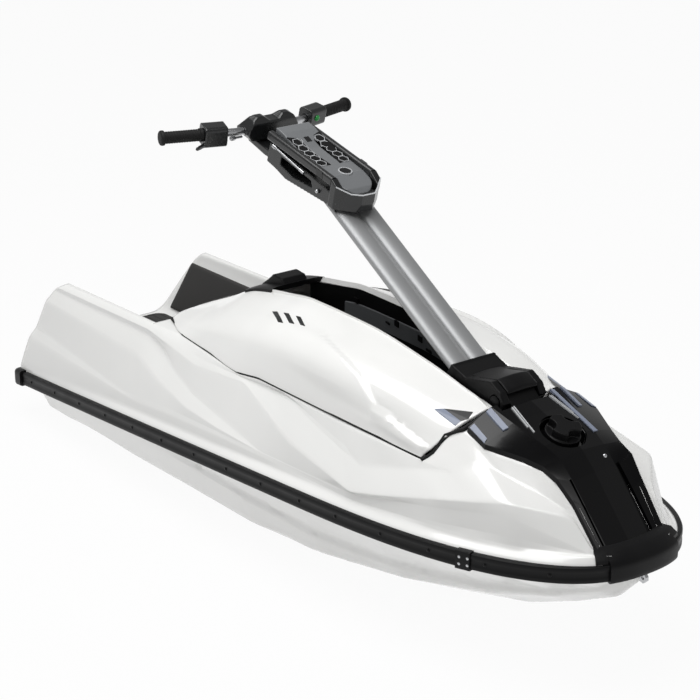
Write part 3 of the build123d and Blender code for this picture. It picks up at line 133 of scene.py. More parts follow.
# White paper: matt, and plain white to the camera and in reflections
floor_material = bpy.data.materials.new("white_paper_floor")
floor_material.use_nodes = True
floor_tree = floor_material.node_tree
floor_tree.nodes.clear()
matte = add(floor_tree, "BsdfDiffuse", Color=srgb("E0E0E0"))
glow = add(floor_tree, "Emission", Color=(1, 1, 1, 1), Strength=1.0)
seen = add(floor_tree, "LightPath")
direct = add(floor_tree, "Math", [(0, seen, "Is Camera Ray"), (1, seen, "Is Glossy Ray")], operation="MAXIMUM")
white = add(floor_tree, "Math", [(0, direct, 0)], operation="MULTIPLY")
white.inputs[1].default_value = FLOOR_WHITE
mixed = add(floor_tree, "MixShader", [(0, white, 0), (1, matte, 0), (2, glow, 0)])
add(floor_tree, "OutputMaterial", [(0, mixed, 0)])
floor_mesh.materials.append(floor_material)

# Hull bottom. The lower shell is laid up in a mould and sprayed with white gelcoat, so its creases are rounded
# and its skin is glossy with a faint orange peel. It is joined to the deck under the rub rail.
# Shares of the way to the neighbours' mean that a round of softening goes, there and back
SOFTENING = (0.5, -0.52)


def finish(name, colour, roughness, coat=0.0, metallic=0.0, grain=0.1, grain_mm=1.0, mottle=0.04, drift=0.04,
           drawn=(1, 1, 1), turn=0.0, sheen_level=0.5):
    """Finish of a moulded, sprayed or drawn surface. Clouds a hand wide shift its colour and roughness a little, and
    noise of one grain size, drawn out along the way the piece was pulled, gives its bump. Grains are drawn coarser
    than the real ones, so that they show."""
    material = bpy.data.materials.new(name)
    material.use_nodes = True
    tree = material.node_tree
    shader = tree.nodes["Principled BSDF"]
    shader.inputs["Metallic"].default_value = metallic
    shader.inputs["Coat Weight"].default_value = coat
    shader.inputs["Coat Roughness"].default_value = 0.04
    shader.inputs["Specular IOR Level"].default_value = sheen_level
    place = add(tree, "TexCoord")
    lie = add(tree, "Mapping", [("Vector", place, "Object")], Rotation=(0, turn, 0), Scale=drawn)
    noise = add(tree, "TexNoise", [("Vector", lie, 0)], Scale=1000 / grain_mm, Detail=3.0)
    bump = add(tree, "Bump", [("Height", noise, 0)], Strength=grain, Distance=0.0006)
    cloud = add(tree, "TexNoise", [("Vector", lie, 0)], Scale=11.0, Detail=4.0)
    ramp = add(tree, "ValToRGB", [(0, cloud, 0)])
    tone = np.array(srgb(colour))
    ramp.color_ramp.elements[0].color = (*(tone[:3] * (1 - drift)), 1)
    ramp.color_ramp.elements[1].color = (*np.minimum(tone[:3] * (1 + drift), 1), 1)
    spread = add(tree, "MapRange", [("Value", cloud, 0)], To_Min=roughness - mottle, To_Max=roughness + mottle)
    for socket, node in (("Base Color", ramp), ("Roughness", spread), ("Normal", bump)):
        tree.links.new(node.outputs[0], shader.inputs[socket])
    return material


def softened(node, look, voxel_mm, rounds, sink_mm=0.0):
    """A CAD solid as it comes out of a mould: drawn again in even squares, each round moves every point half way to the
    mean of its neighbours and back out, so that creases turn round and flats stay. It may then sink under another
    skin."""
    skin = nodes[node].data.copy()
    joined = bmesh.new()
    joined.from_mesh(skin)
    bmesh.ops.remove_doubles(joined, verts=joined.verts, dist=1e-5)
    joined.to_mesh(skin)
    joined.free()
    piece = bpy.data.objects.new(node + "_moulding", skin)
    scene.collection.objects.link(piece)
    squares = piece.modifiers.new("even_squares", "REMESH")
    squares.mode = "VOXEL"
    squares.voxel_size = voxel_mm / 1000
    even = bpy.data.meshes.new_from_object(piece.evaluated_get(bpy.context.evaluated_depsgraph_get()))
    piece.modifiers.clear()
    piece.data = even
    count = len(even.vertices)
    points = np.empty(3 * count)
    even.vertices.foreach_get("co", points)
    points = points.reshape(-1, 3)
    ends = np.empty(2 * len(even.edges), int)
    even.edges.foreach_get("vertices", ends)
    one, other = ends.reshape(-1, 2).T
    near = np.bincount(ends, minlength=count)[:, None]
    for share in SOFTENING * rounds:
        total = [np.bincount(one, points[other, k], count) + np.bincount(other, points[one, k], count)
                 for k in range(3)]
        points += share * (np.stack(total, 1) / near - points)
    even.vertices.foreach_set("co", points.ravel())
    even.update()
    normals = np.empty(3 * count)
    even.vertices.foreach_get("normal", normals)
    even.vertices.foreach_set("co", points.ravel() - normals * sink_mm / 1000)
    even.polygons.foreach_set("use_smooth", np.ones(len(even.polygons), bool))
    even.materials.clear()
    even.materials.append(look)
    even.update()
    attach(piece, nodes[node]["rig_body"])
    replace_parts(piece, node)
    return piece


# Sprayed gelcoat: a clear gloss over even white, with soft highlights along the creases
gelcoat = finish("white_gelcoat", "F0F0EE", 0.2, coat=0.5, grain=0.03, grain_mm=7, mottle=0.03, drift=0.01)
softened("hull_bottom", gelcoat, voxel_mm=10, rounds=4)

# Deck. The upper shell is one white moulding: gunwales and tray aft, side walls with long slanted bands round the
# engine bay, and the nose. All its edges are rounded in the mould.
LENGTH = 2430
HALF_BEAM = 369
STERN_X = -1208
BOW_X = 1208
WIDEST_X = 288
STERN_HALF_WIDTH = 314
STERN_CORNER = 20
BOW_FULLNESS = 2.61
BOW_BLUNTNESS = 2.49
SHEER = (262, 96.5, -22.5)
RAIL_DEPTH = 16
RAIL_HEIGHT = 42
# Ledge inside the rail: inset and rise
LEDGE = (22, 18)
LAMINATE = 5
UNDER_SKIN = 7
DECK_JOIN_X = -497
DECK_BOW_X = 1177
# Creases of the deck's side from the knee over the rail up to the hood's seam, each a run of places x, y, z
KNEE = [(-1199, 297, 274), (-495, 319, 262), (-342, 325, 280), (-76, 331, 300), (508, 326, 318), (772, 299, 342),
        (900, 270, 347), (1005, 233, 352), (1100, 172, 352), (1155, 124, 350), (1192, 70, 346)]
SILL = [(-1199, 287, 318), (-1076, 288, 309), (-575, 313, 270), (-342, 321.5, 296), (-76, 328, 311), (508, 326, 323),
        (772, 298, 350), (1000, 235, 372), (1155, 123, 352), (1192, 70, 346)]
FIRST_LOW = [(-1199, 282, 418), (-519, 286, 394), (-385, 302, 354), (-237, 318, 329), (-76, 325, 321), (119, 327, 316),
             (508, 326, 328), (772, 297, 368), (994, 237, 395), (1155, 122, 351), (1192, 70, 345.5)]
FIRST_HIGH = [(-1199, 274, 447), (-497, 270, 454), (-425, 271, 432), (-342, 290, 395), (-237, 302, 366),
              (-76, 314, 344), (119, 326, 318), (508, 325, 334), (772, 296.5, 386), (986, 239, 422), (1155, 121, 350),
              (1192, 69.5, 345)]
SECOND_LOW = [(-1199, 270, 459), (-497, 265, 468), (-237, 280, 440), (-2, 283, 461), (240, 314, 385), (508, 324, 341),
              (610, 318, 365), (809, 289, 417), (973, 241, 452), (1087, 132, 424), (1155, 119, 348), (1192, 69, 344)]
SECOND_HIGH = [(-1199, 264, 467), (-497, 259, 477), (-237, 272, 458), (183, 280, 479), (292, 289, 451), (508, 303, 403),
               (665, 277, 442), (798, 245, 474), (846, 205, 503), (976, 160, 466), (1068, 122, 430), (1155, 114, 344),
               (1192, 68, 341)]
TOP = [(-1199, 256, 471), (-495, 251, 483), (-360, 247, 484), (-50, 277, 471), (44, 277, 484), (539, 273, 478),
       (693, 258, 469), (711, 235, 488), (719, 206, 530), (757, 185, 551), (838, 187, 528), (894, 160, 520),
       (968, 129, 506), (1021, 125, 486), (1068, 115, 440), (1155, 109, 338), (1192, 66, 334)]
# The lines with the place where each one turns into the bow
SIDE_LINES = [(KNEE, 1005), (SILL, 1000), (FIRST_LOW, 994), (FIRST_HIGH, 986), (SECOND_LOW, 973), (SECOND_HIGH, 846),
              (TOP, 757)]
FOOT_TURN_X = 1012
TURN_SHARE = 0.84
CREASE_REACH = 16
# Where the lower and the upper band run out, and over what length
BAND_ENDS = (130, 960)
BAND_FADE = 70
BAND_SWELL = 0.13
MOST_SWELL = 9
# Flange inside the top line. Widths: at the join, along the hood, between hood and panel, beside the panel. Drops:
# along the hood, between them, beside the panel. Its edge turns inwards, then down aft of the panel and up beside it.
HOOD_FRONT_X = 700
PANEL_REAR_X = 760
FLANGE_NARROW_X = -360
FLANGE_WIDTHS = (68, 34, 5, 12)
FLANGE_DROPS = (0, 12, -3)
FLANGE_EDGE = (4, 30, -2)
# Tray: the half width of its upper edge, the break of its wall, its floor, and the rake of the stern as x and height
TRAY_EDGE = 237
TRAY_BREAK = (236, 440)
TRAY_FLOOR = (190, 250)
TRAY_STERN_X = -1190.0
STERN_RAKE = np.array([(-1199, 100), (-1191, 172), (-1185, 190), (-1029, 426), (-1007, 452), (-965, 473), (-965, 600)],
                      float)
# Share of the sides that each rounded corner takes, from the rail up
CORNER_SHARES = (0.3, 0.3, 0.25, 0.12, 0.12, 0.12, 0.12, 0.12)
FLANGE_SHARES = (0.2, 0.2, 0.2)
TRAY_SHARES = (0.2, 0.3, 0.45, 0.2, 0.12)
CORNER_SAMPLES = 5
SIDE_RUN = np.linspace(0, 1, 261)
TRAY_RUN = np.linspace(0, 1, 61)


def half_beam(x):
    """Half width over the rail: a parabola aft of the widest place, a superellipse forward of it."""
    back = (WIDEST_X - x) / (WIDEST_X - STERN_X - STERN_CORNER)
    ahead = np.clip((x - WIDEST_X) / (BOW_X - WIDEST_X), 0, 1)
    bow = HALF_BEAM * (1 - ahead**BOW_FULLNESS) ** (1 / BOW_BLUNTNESS)
    return np.where(x <= WIDEST_X, HALF_BEAM - (HALF_BEAM - STERN_HALF_WIDTH) * back**2, bow)


def sheer_z(x):
    """Height of the rail's top: a parabola along the craft."""
    t = 2 * x / LENGTH
    return SHEER[0] + SHEER[1] * t + SHEER[2] * t**2


def rounded(corners, shares, samples):
    """Rows of points across a surface from its corner lines: each inner corner is replaced by the quadratic curve that
    leaves one side and meets the next at a share of their lengths."""
    t = np.linspace(0, 1, samples)[:, None, None]
    rows = [corners[:1]]
    for k in range(1, len(corners) - 1):
        start = corners[k] + shares[k - 1] * (corners[k - 1] - corners[k])
        end = corners[k] + shares[k - 1] * (corners[k + 1] - corners[k])
        rows.append((1 - t) ** 2 * start + 2 * t * (1 - t) * corners[k] + t**2 * end)
    return np.concatenate(rows + [corners[-1:]])


def crease(places, x):
    """Points of one crease at x: straight runs between its places, each corner rounded by a mean over a short reach."""
    table = np.array(places, float)
    spread = x[:, None] + CREASE_REACH * np.linspace(-1, 1, 9)
    return np.stack([x] + [np.interp(spread, table[:, 0], table[:, k]).mean(1) for k in (1, 2)], -1)


def banded(lines):
    """The creases with both bands tilted up: a band's lower edge stands out and its upper edge in by a share of its
    height."""
    for low, high, end in ((2, 3, BAND_ENDS[0]), (4, 5, BAND_ENDS[1])):
        swell = np.clip(BAND_SWELL * (lines[high][:, 2] - lines[low][:, 2]), 0, MOST_SWELL)
        swell *= np.clip((end - lines[low][:, 0]) / BAND_FADE, 0, 1)
        lines[low][:, 1] += swell
        lines[high][:, 1] -= swell
    return lines


def side_creases(places):
    """All creases of the side, each at its own places along the craft, the knee kept above the ledge."""
    lines = banded([crease(line, x) for (line, _), x in zip(SIDE_LINES, places)])
    lines[0][:, 2] = np.maximum(lines[0][:, 2], sheer_z(lines[0][:, 0]) + LEDGE[1] + 1)
    lines[1][:, 2] = np.maximum(lines[1][:, 2], lines[0][:, 2] + 1)
    return lines


def footed(x):
    """The three lines of the deck at the rail, inside its outline by the rail's depth and outside the knee: below its
    top, level with it, and on the ledge inside it."""
    knee_y = crease(KNEE, x)[:, 1]
    y = np.maximum(half_beam(x) - RAIL_DEPTH, knee_y + 2)
    return [np.stack([x, np.maximum(y - inset, knee_y + 1), sheer_z(x) + rise], -1)
            for inset, rise in ((0, -RAIL_HEIGHT / 2), (0, 0), LEDGE)]


def along(turn_x):
    """Places along a line of the side from the join to the bow, the turn into the bow at a fixed share of them."""
    return np.interp(SIDE_RUN, (0, TURN_SHARE, 1), (DECK_JOIN_X, turn_x, DECK_BOW_X))


def raked(height):
    """Places along a line of the tray from the raked stern, where it starts for its height, to the join."""
    start = np.interp(height, STERN_RAKE[:, 1], STERN_RAKE[:, 0])
    return start + TRAY_RUN * (DECK_JOIN_X - start)


def placed(name, points, faces, look, slot, body, crease=0.6, closed=True):
    """A piece from points in millimetres and its faces: doubles merged, smooth up to a crease, and the faces of a
    closed skin turned outwards."""
    mesh = bpy.data.meshes.new(name)
    mesh.from_pydata((np.asarray(points, float).reshape(-1, 3) / 1000).tolist(), [], faces)
    joined = bmesh.new()
    joined.from_mesh(mesh)
    bmesh.ops.remove_doubles(joined, verts=joined.verts, dist=1e-6)
    if closed:
        bmesh.ops.recalc_face_normals(joined, faces=joined.faces)
    joined.to_mesh(mesh)
    joined.free()
    mesh.polygons.foreach_set("use_smooth", np.ones(len(mesh.polygons), bool))
    mesh.set_sharp_from_angle(angle=crease)
    mesh.materials.append(look)
    piece = bpy.data.objects.new(name, mesh)
    scene.collection.objects.link(piece)
    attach(piece, body)
    return piece


def quads(rows, columns, start=0, closed=True):
    """Faces of a grid of points counted from a start. In a closed grid the last column meets the first."""
    index = np.arange(rows * columns).reshape(rows, columns) + start
    if closed:
        index = np.hstack([index, index[:, :1]])
    return np.stack([index[:-1, :-1], index[1:, :-1], index[1:, 1:], index[:-1, 1:]], -1).reshape(-1, 4)


def skins(sheets):
    """Open skins in one mesh. Rows go up the port side and inwards, so a mirrored sheet is turned over."""
    points, faces, start = [], [], 0
    for sheet, mirrored in sheets:
        rows, columns = sheet.shape[:2]
        cells = quads(rows, columns, start, closed=False)
        points.append(sheet.reshape(-1, 3) * (1, -1 if mirrored else 1, 1))
        faces += (cells[:, ::-1] if mirrored else cells).tolist()
        start += rows * columns
    return np.vstack(points), faces


def laminated(piece, thickness):
    """Gives an open skin the thickness of its laminate, inwards."""
    layer = piece.modifiers.new("laminate", "SOLIDIFY")
    layer.thickness = thickness / 1000
    layer.offset = -1
    return piece


softened("deck", gelcoat, voxel_mm=9, rounds=3, sink_mm=UNDER_SKIN)
side_lines = side_creases([along(turn_x) for _, turn_x in SIDE_LINES])
top = side_lines[-1]
x = top[:, 0]
lengths = [x < HOOD_FRONT_X, x < PANEL_REAR_X]
widening = np.interp(x, (DECK_JOIN_X, FLANGE_NARROW_X), FLANGE_WIDTHS[:2])
flange = np.select(lengths, [widening, FLANGE_WIDTHS[2]], FLANGE_WIDTHS[3])
inner = top - np.stack([0 * x, flange, np.select(lengths, FLANGE_DROPS[:2], FLANGE_DROPS[2])], -1)
under = inner - np.stack([0 * x, np.full_like(x, FLANGE_EDGE[0]), np.where(lengths[1], *FLANGE_EDGE[1:])], -1)
side_rows = footed(along(FOOT_TURN_X)) + side_lines + [inner, under]
side = rounded(np.array(side_rows), CORNER_SHARES + FLANGE_SHARES, CORNER_SAMPLES)

tray_lines = side_creases([raked(line[0][2]) for line, _ in SIDE_LINES])
tray_top = tray_lines[-1]
tray_edge = np.stack([tray_top[:, 0], np.full_like(TRAY_RUN, TRAY_EDGE), tray_top[:, 2]], -1)
tray_rows = footed(raked(sheer_z(TRAY_STERN_X))) + tray_lines + [tray_edge]
for half, height in (TRAY_BREAK, TRAY_FLOOR, (0, TRAY_FLOOR[1])):
    tray_rows.append(np.stack([raked(height), np.full_like(TRAY_RUN, half), np.full_like(TRAY_RUN, height)], -1))
port_tray = rounded(np.array(tray_rows), CORNER_SHARES + TRAY_SHARES, CORNER_SAMPLES)
tray = np.concatenate([port_tray, (port_tray * (1, -1, 1))[-2::-1]])
deck_skin = skins([(side, False), (side, True), (tray, False)])
deck = placed("deck_skin", *deck_skin, gelcoat, "white_gelcoat", "hull", crease=1.0, closed=False)
laminated(deck, LAMINATE)

# Rub rail. Black rubber extruded with a shallow channel, bent round the joint of the two shells and screwed through the
# channel. Thicker moulded caps close the bow and the stern corners, and a plate covers each joint.
JET_WAY = 122
STERN_CAP_X = -1153
RAIL_JOINT_X = 887
JOINER_LENGTH = 42
BUMPER_X = 1190
LIP_X = 1177
CHANNEL = 1.2
# Profiles, outwards from the outline and up from the rail's top
RAIL_PROFILE = [(-16, -42), (-5, -42), (-1.6, -40.4), (0, -37), (0, -30), (-CHANNEL, -28), (-CHANNEL, -14), (0, -12),
                (0, -5), (-1.6, -1.6), (-5, 0), (-16, 0)]
CAP_PROFILE = [(-16, -46), (-1, -46), (4, -44), (6.6, -39), (7, -32), (7, -10), (6.6, -3), (4, 2), (-1, 4), (-16, 4)]
BOW_PROFILE = CAP_PROFILE[:7] + [(3, 4), (-6, 10), (-24, 24), (-52, 27), (-52, 10), (-16, -2)]
LIP_PROFILE = [(-14, -2), (-6, 2), (-8, 10), (-24, 23.5), (-50, 26.5), (-50, 10)]
PLATE_PROFILE = [(-16, -45), (-1, -45), (2, -44), (3, -41), (3, -1), (2, 2), (-1, 3), (-16, 3)]
# Rows of the path along the stern and round its corner, and the rows aft of its fore half
STERN_ROWS = 28
AFT_ROWS = 200
SCREW_PITCH = 160
SCREW_MARGINS = (130, 120)
RIVET_INSET = 10
RIVET_DROPS = (-12, -30)
SIDES = (("starboard", -1), ("port", 1))


def built(name, grids, look, slot, body, crease=0.6):
    """A piece of closed skins over rings of points: a grid's rows are the rings, and a flat face closes each end."""
    points, faces, start = [], [], 0
    for grid in grids:
        grid = np.asarray(grid, float)
        rows, columns = grid.shape[:2]
        ends = [(start + first + np.arange(columns)).tolist() for first in (0, (rows - 1) * columns)]
        points.append(grid.reshape(-1, 3))
        faces += quads(rows, columns, start).tolist() + ends
        start += rows * columns
    return placed(name, np.vstack(points), faces, look, slot, body, crease)


def rail_path():
    """Port outline of the rail from the jet to the bow: a straight stern, a round corner, a parabola to the widest
    place and a superellipse round the bow, with its outward direction and the parabola of its height."""
    stern = np.stack([np.full(20, STERN_X), np.linspace(JET_WAY, STERN_HALF_WIDTH - STERN_CORNER, 20)], 1)
    turn = np.linspace(0, np.pi / 2, 10)[1:]
    corner = STERN_CORNER * np.stack([1 - np.cos(turn), np.sin(turn)], 1)
    corner += (STERN_X, STERN_HALF_WIDTH - STERN_CORNER)
    side_x = np.linspace(STERN_X + STERN_CORNER, WIDEST_X, 160)[1:]
    angle = np.linspace(0, np.pi / 2, 181)[1:]
    ahead = np.sin(angle) ** (2 / BOW_FULLNESS)
    bow = np.stack([WIDEST_X + (BOW_X - WIDEST_X) * ahead, HALF_BEAM * np.cos(angle) ** (2 / BOW_BLUNTNESS)], 1)
    flat = np.vstack([stern, corner, np.stack([side_x, half_beam(side_x)], 1), bow])
    step = np.gradient(flat, axis=0)
    step /= np.linalg.norm(step, axis=1, keepdims=True)
    step[-1] = (0, -1)
    out = np.stack([-step[:, 1], step[:, 0], 0 * step[:, 0]], 1)
    return np.column_stack([flat, sheer_z(flat[:, 0])]), out


def carried(path, out, profile, hand=1):
    """A profile carried along a path: its first number goes outwards and its second up. A hand of -1 mirrors it."""
    shape = np.array(profile, float)
    grid = path[:, None] + out[:, None] * shape[None, :, :1] + np.array([0, 0, 1]) * shape[None, :, 1:]
    return grid * (1, hand, 1)


def mirrored(points):
    """Points of the port side, then the same ones on the starboard side."""
    return np.vstack([points, points * (1, -1, 1)])


def turned(start, axis, distance, radius, sides=32, beside=(0.1, 0.2, 1.0)):
    """Surface turned about an axis: rings of a radius at each distance from the start."""
    axis = np.asarray(axis, float) / np.linalg.norm(axis)
    side = np.cross(axis, beside)
    side /= np.linalg.norm(side)
    angle = np.linspace(0, 2 * np.pi, sides, endpoint=False)
    ring = np.cos(angle)[:, None] * side + np.sin(angle)[:, None] * np.cross(axis, side)
    return start + distance[:, None, None] * axis + radius[:, None, None] * ring


def heads(centres, normals, radius, height, sides=12):
    """Domed screw heads: a rim and a quarter circle turned about each normal, on each centre."""
    rise = height * np.array([-0.5, 0.0, 0.45, 0.8, 1.0])
    reach = radius * np.array([1.0, 1.0, 0.92, 0.66, 0.25])
    return [turned(centre, normal, rise, reach, sides, (0.31, 0.27, 0.91)) for centre, normal in zip(centres, normals)]


# Extruded rubber is satin and close-grained, with scuffs that show as dull patches. Stainless steel is bright.
rail_rubber = finish("black_rail_rubber", "0F0F10", 0.42, grain=0.2, grain_mm=2.2, mottle=0.1, drift=0.14,
                     sheen_level=0.17)
stainless = finish("stainless_screws", "B9BABC", 0.25, metallic=1.0, grain=0.05, grain_mm=1, mottle=0.06)
path, out = rail_path()
path_x = path[:, 0]
around = np.arange(len(path)) < STERN_ROWS
rail_lengths = {
    "side": (path_x > STERN_CAP_X - 6) & (path_x < RAIL_JOINT_X + 4) & ~around,
    "front": (path_x > RAIL_JOINT_X) & (path_x < BUMPER_X + 2),
    "joint_plate": (path_x > RAIL_JOINT_X) & (path_x < RAIL_JOINT_X + JOINER_LENGTH),
    "bow_cap": path_x > BUMPER_X,
    "bow_lip": (path_x > LIP_X) & (path_x < BUMPER_X + 2),
    "stern_cap": path_x < STERN_CAP_X,
}


def rail_length(name, profile, hands=(-1, 1)):
    """One length of the rail, on both sides of the craft or on one."""
    keep = rail_lengths[name]
    return [carried(path[keep], out[keep], profile, hand) for hand in hands]


def rail_piece(name, grids, node):
    """A rubber piece of the rail that stands for a node."""
    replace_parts(built(name, grids, rail_rubber, "rail_rubber", "hull"), node)


for flank, hand in SIDES:
    rail_piece("rail_strip_" + flank, rail_length("side", RAIL_PROFILE, (hand,)), "rail_" + flank)
rail_piece("rail_strip_bow", rail_length("front", RAIL_PROFILE) + rail_length("joint_plate", PLATE_PROFILE), "rail_bow")
rail_piece("bow_cap", rail_length("bow_cap", BOW_PROFILE) + rail_length("bow_lip", LIP_PROFILE), "bow_bumper")
rail_piece("stern_caps", rail_length("stern_cap", CAP_PROFILE), "rail_stern")

run = np.concatenate([[0], np.cumsum(np.linalg.norm(np.diff(path, axis=0), axis=1))])
screw_rows = np.searchsorted(run, np.arange(SCREW_MARGINS[0], run[-1] - SCREW_MARGINS[1], SCREW_PITCH))
screws = path[screw_rows] + out[screw_rows] * -CHANNEL + (0, 0, -RAIL_HEIGHT / 2)
screw_heads = heads(mirrored(screws), mirrored(out[screw_rows]), radius=4.6, height=2.4)
built("rail_screws", screw_heads, rail_rubber, "rail_rubber", "hull")
plate_ends = (RAIL_JOINT_X + RIVET_INSET, RAIL_JOINT_X + JOINER_LENGTH - RIVET_INSET)
plate_rows = np.searchsorted(path_x[AFT_ROWS:], plate_ends) + AFT_ROWS
plate_face = path[plate_rows] + PLATE_PROFILE[3][0] * out[plate_rows]
rivets = np.vstack([plate_face + (0, 0, drop) for drop in RIVET_DROPS])
rivet_heads = heads(mirrored(rivets), mirrored(np.vstack([out[plate_rows]] * 2)), radius=4, height=2)
built("joint_rivets", rivet_heads, stainless, "stainless", "hull")

# Standing mat and gunwale pads. Closed-cell foam sheets, charcoal and matt, cut with round edges and glued down to the
# tray. The mat is moulded with grooves that drain and grip, and the pads are plain.
MAT_X = (-1110, -513)
MAT_HALF_WIDTH = 180
MAT_FLOOR = 250
MAT_THICKNESS = 8
MAT_CORNER = 25
MAT_GROOVES = 15
GROOVE_DEPTH = 0.35
PAD_LOW = np.array([195.3, 272])
PAD_HIGH = np.array([234.5, 434])
PAD_REAR = (-1090, -1015)
PAD_FRONT = -513
PAD_THICKNESS = 10


def ribbed(across, grooves, depth):
    """Height of a grooved foam face over -1 to 1: a crown that falls away at the edges, less narrow round grooves."""
    edge = (1 - np.abs(across) ** 24) ** 0.5
    wave = np.cos(across * np.pi * grooves)
    return edge - depth * np.clip((-wave - 0.72) / 0.28, 0, 1) ** 0.5 * (np.abs(across) < 1 - 0.8 / grooves)


# Foam is matt and open-grained, a little lighter where it is worn
foam = finish("charcoal_foam", "343332", 0.82, grain=0.9, grain_mm=2.6, mottle=0.06, drift=0.16)
ends = np.sin(np.linspace(-np.pi / 2, np.pi / 2, 41))
mat_x = (MAT_X[0] + MAT_X[1]) / 2 + ends * (MAT_X[1] - MAT_X[0]) / 2
inset = np.clip(MAT_CORNER - (MAT_X[1] - MAT_X[0]) / 2 * (1 - np.abs(ends)), 0, MAT_CORNER)
half_width = MAT_HALF_WIDTH - MAT_CORNER + np.sqrt(np.clip(MAT_CORNER**2 - inset**2, 1, None))
across = np.linspace(-1, 1, 301)
loop_y = np.concatenate([across, [1, 0, -1]])
loop_z = np.concatenate([MAT_THICKNESS * ribbed(across, MAT_GROOVES, GROOVE_DEPTH), [0, 0, 0]])
mat_grid = np.stack(np.broadcast_arrays(mat_x[:, None], half_width[:, None] * loop_y, MAT_FLOOR + loop_z), -1)
mat = built("standing_mat", [mat_grid], foam, "foam_mat", "hull", crease=1.2)
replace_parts(mat, "tray_mat")

rise = np.linspace(-1, 1, 121)
loop = np.concatenate([rise, [1, 0, -1]])
stand_off = np.concatenate([PAD_THICKNESS * ribbed(rise, 1, 0), [0, 0, 0]])
slope = PAD_HIGH - PAD_LOW
wall = PAD_LOW + (loop[:, None] + 1) / 2 * slope
inward = np.array([-slope[1], slope[0]]) / np.linalg.norm(slope)
rear = PAD_REAR[0] + (loop + 1) / 2 * (PAD_REAR[1] - PAD_REAR[0])
share = (1 + np.sin(np.linspace(-np.pi / 2, np.pi / 2, 31))) / 2
full = np.sqrt(1 - np.abs(2 * share - 1) ** 60)
pad_yz = wall[None] + inward * (full[:, None] * stand_off)[..., None]
pad_x = rear[None] + share[:, None] * (PAD_FRONT - rear[None])
for flank, hand in SIDES:
    pad_grid = np.stack([pad_x, hand * pad_yz[..., 0], pad_yz[..., 1]], -1)
    pad = built("gunwale_foam_" + flank, [pad_grid], foam, "foam_mat", "hull", crease=1.2)
    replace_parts(pad, "gunwale_pad_" + flank)

# Engine hood. A white moulded shell with a soft shoulder and a slot along the middle where the pole lies when it is
# down. It hooks in at the nose. The black bead on the deck's flange under its edge is painted shade of the seam's gap.
HOOD_REAR_X = -495
SLOT_REAR_X = -190
COWL_REAR_X = -268
HOOD_SKIN = 7
# One row for each station: x, seam_y, seam_z, shoulder_y, shoulder_z, crest_y, crest_z
HOOD_ROWS = np.array([
    (-495, 190, 482, 156, 499, 80, 506),
    (-360, 246, 484, 214, 520, 82, 562),
    (-212, 259, 478, 232, 558, 84, 627),
    (-50, 276, 471, 244, 592, 85, 654),
    (44, 276, 484, 251, 608, 86, 665),
    (275, 276, 483, 257, 620, 86, 660),
    (508, 271, 479, 236, 602, 86, 631),
    (690, 256, 469, 200, 562, 88, 597),
    (767, 230, 472, 182, 552, 112, 588),
], float)
SEAM, SHOULDER, CREST = 1, 3, 5
SEAM_GAP = 5
SEAM_LIP = (0, -5, -3)
# Where each line of the hood ends in front: seam, shoulder, crest
HOOD_ENDS = (687, 741, 758)
HOOD_SHARES = (0.5, 0.4, 0.5, 0.6)
SKIN_SAMPLES = 20
# Edge of the slot and its turned-down wall: half width, and height from the crest
SLOT_RIM = (80, -7)
SLOT_WALL = (77.5, -50)
MIDDLE_CROWN = 3
# The shoulder's bulge ends in front along a slanted line, given by x for each level across the skin, the level being
# the half width less the height. It fades in above one level and out below another, each over a reach.
BULGE_LEVELS = (-469, -370, -299, -262)
BULGE_ENDS = (153, 428, 514, 691)
BULGE = 10
BULGE_RAMP = 20
BULGE_LENGTH = 420
BULGE_FADES = ((-480, 90), (-212, 50))
# A ledge that catches the light: x and level at each end, how far the skin below stands out, and over what height
LEDGE_START = (500, -310)
LEDGE_END = (690, -262)
LEDGE_OUT = 7
LEDGE_RAMP = 9
# The way out of the skin turns from up to outboard: from this level on, over this reach
OUT_LEVELS = (-470, 170)


def eased(x, knots, values):
    """Smooth curve through values at knots that never overshoots them: cubic pieces whose slopes are the harmonic mean
    of the slopes on either side, and flat at a turn."""
    step = np.diff(knots)
    rate = np.diff(values) / step
    before, after = rate[:-1], rate[1:]
    with np.errstate(divide="ignore", invalid="ignore"):
        inner = np.where(before * after > 0, 2 * before * after / (before + after), 0)
    slope = np.concatenate([rate[:1], inner, rate[-1:]])
    i = np.clip(np.searchsorted(knots, x, side="right") - 1, 0, len(step) - 1)
    t = (x - knots[i]) / step[i]
    return (values[i] * (1 + 2 * t) * (1 - t) ** 2 + slope[i] * step[i] * t * (1 - t) ** 2
            + values[i + 1] * t**2 * (3 - 2 * t) + slope[i + 1] * step[i] * t**2 * (t - 1))


def hood_line(x, column):
    """One line of the hood along the craft: its half width and height pass smoothly through the stations."""
    y = eased(x, HOOD_ROWS[:, 0], HOOD_ROWS[:, column])
    return np.stack([x, y, eased(x, HOOD_ROWS[:, 0], HOOD_ROWS[:, column + 1])], -1)


def smooth(t):
    """Smooth step from 0 to 1."""
    t = np.clip(t, 0, 1)
    return t * t * (3 - 2 * t)


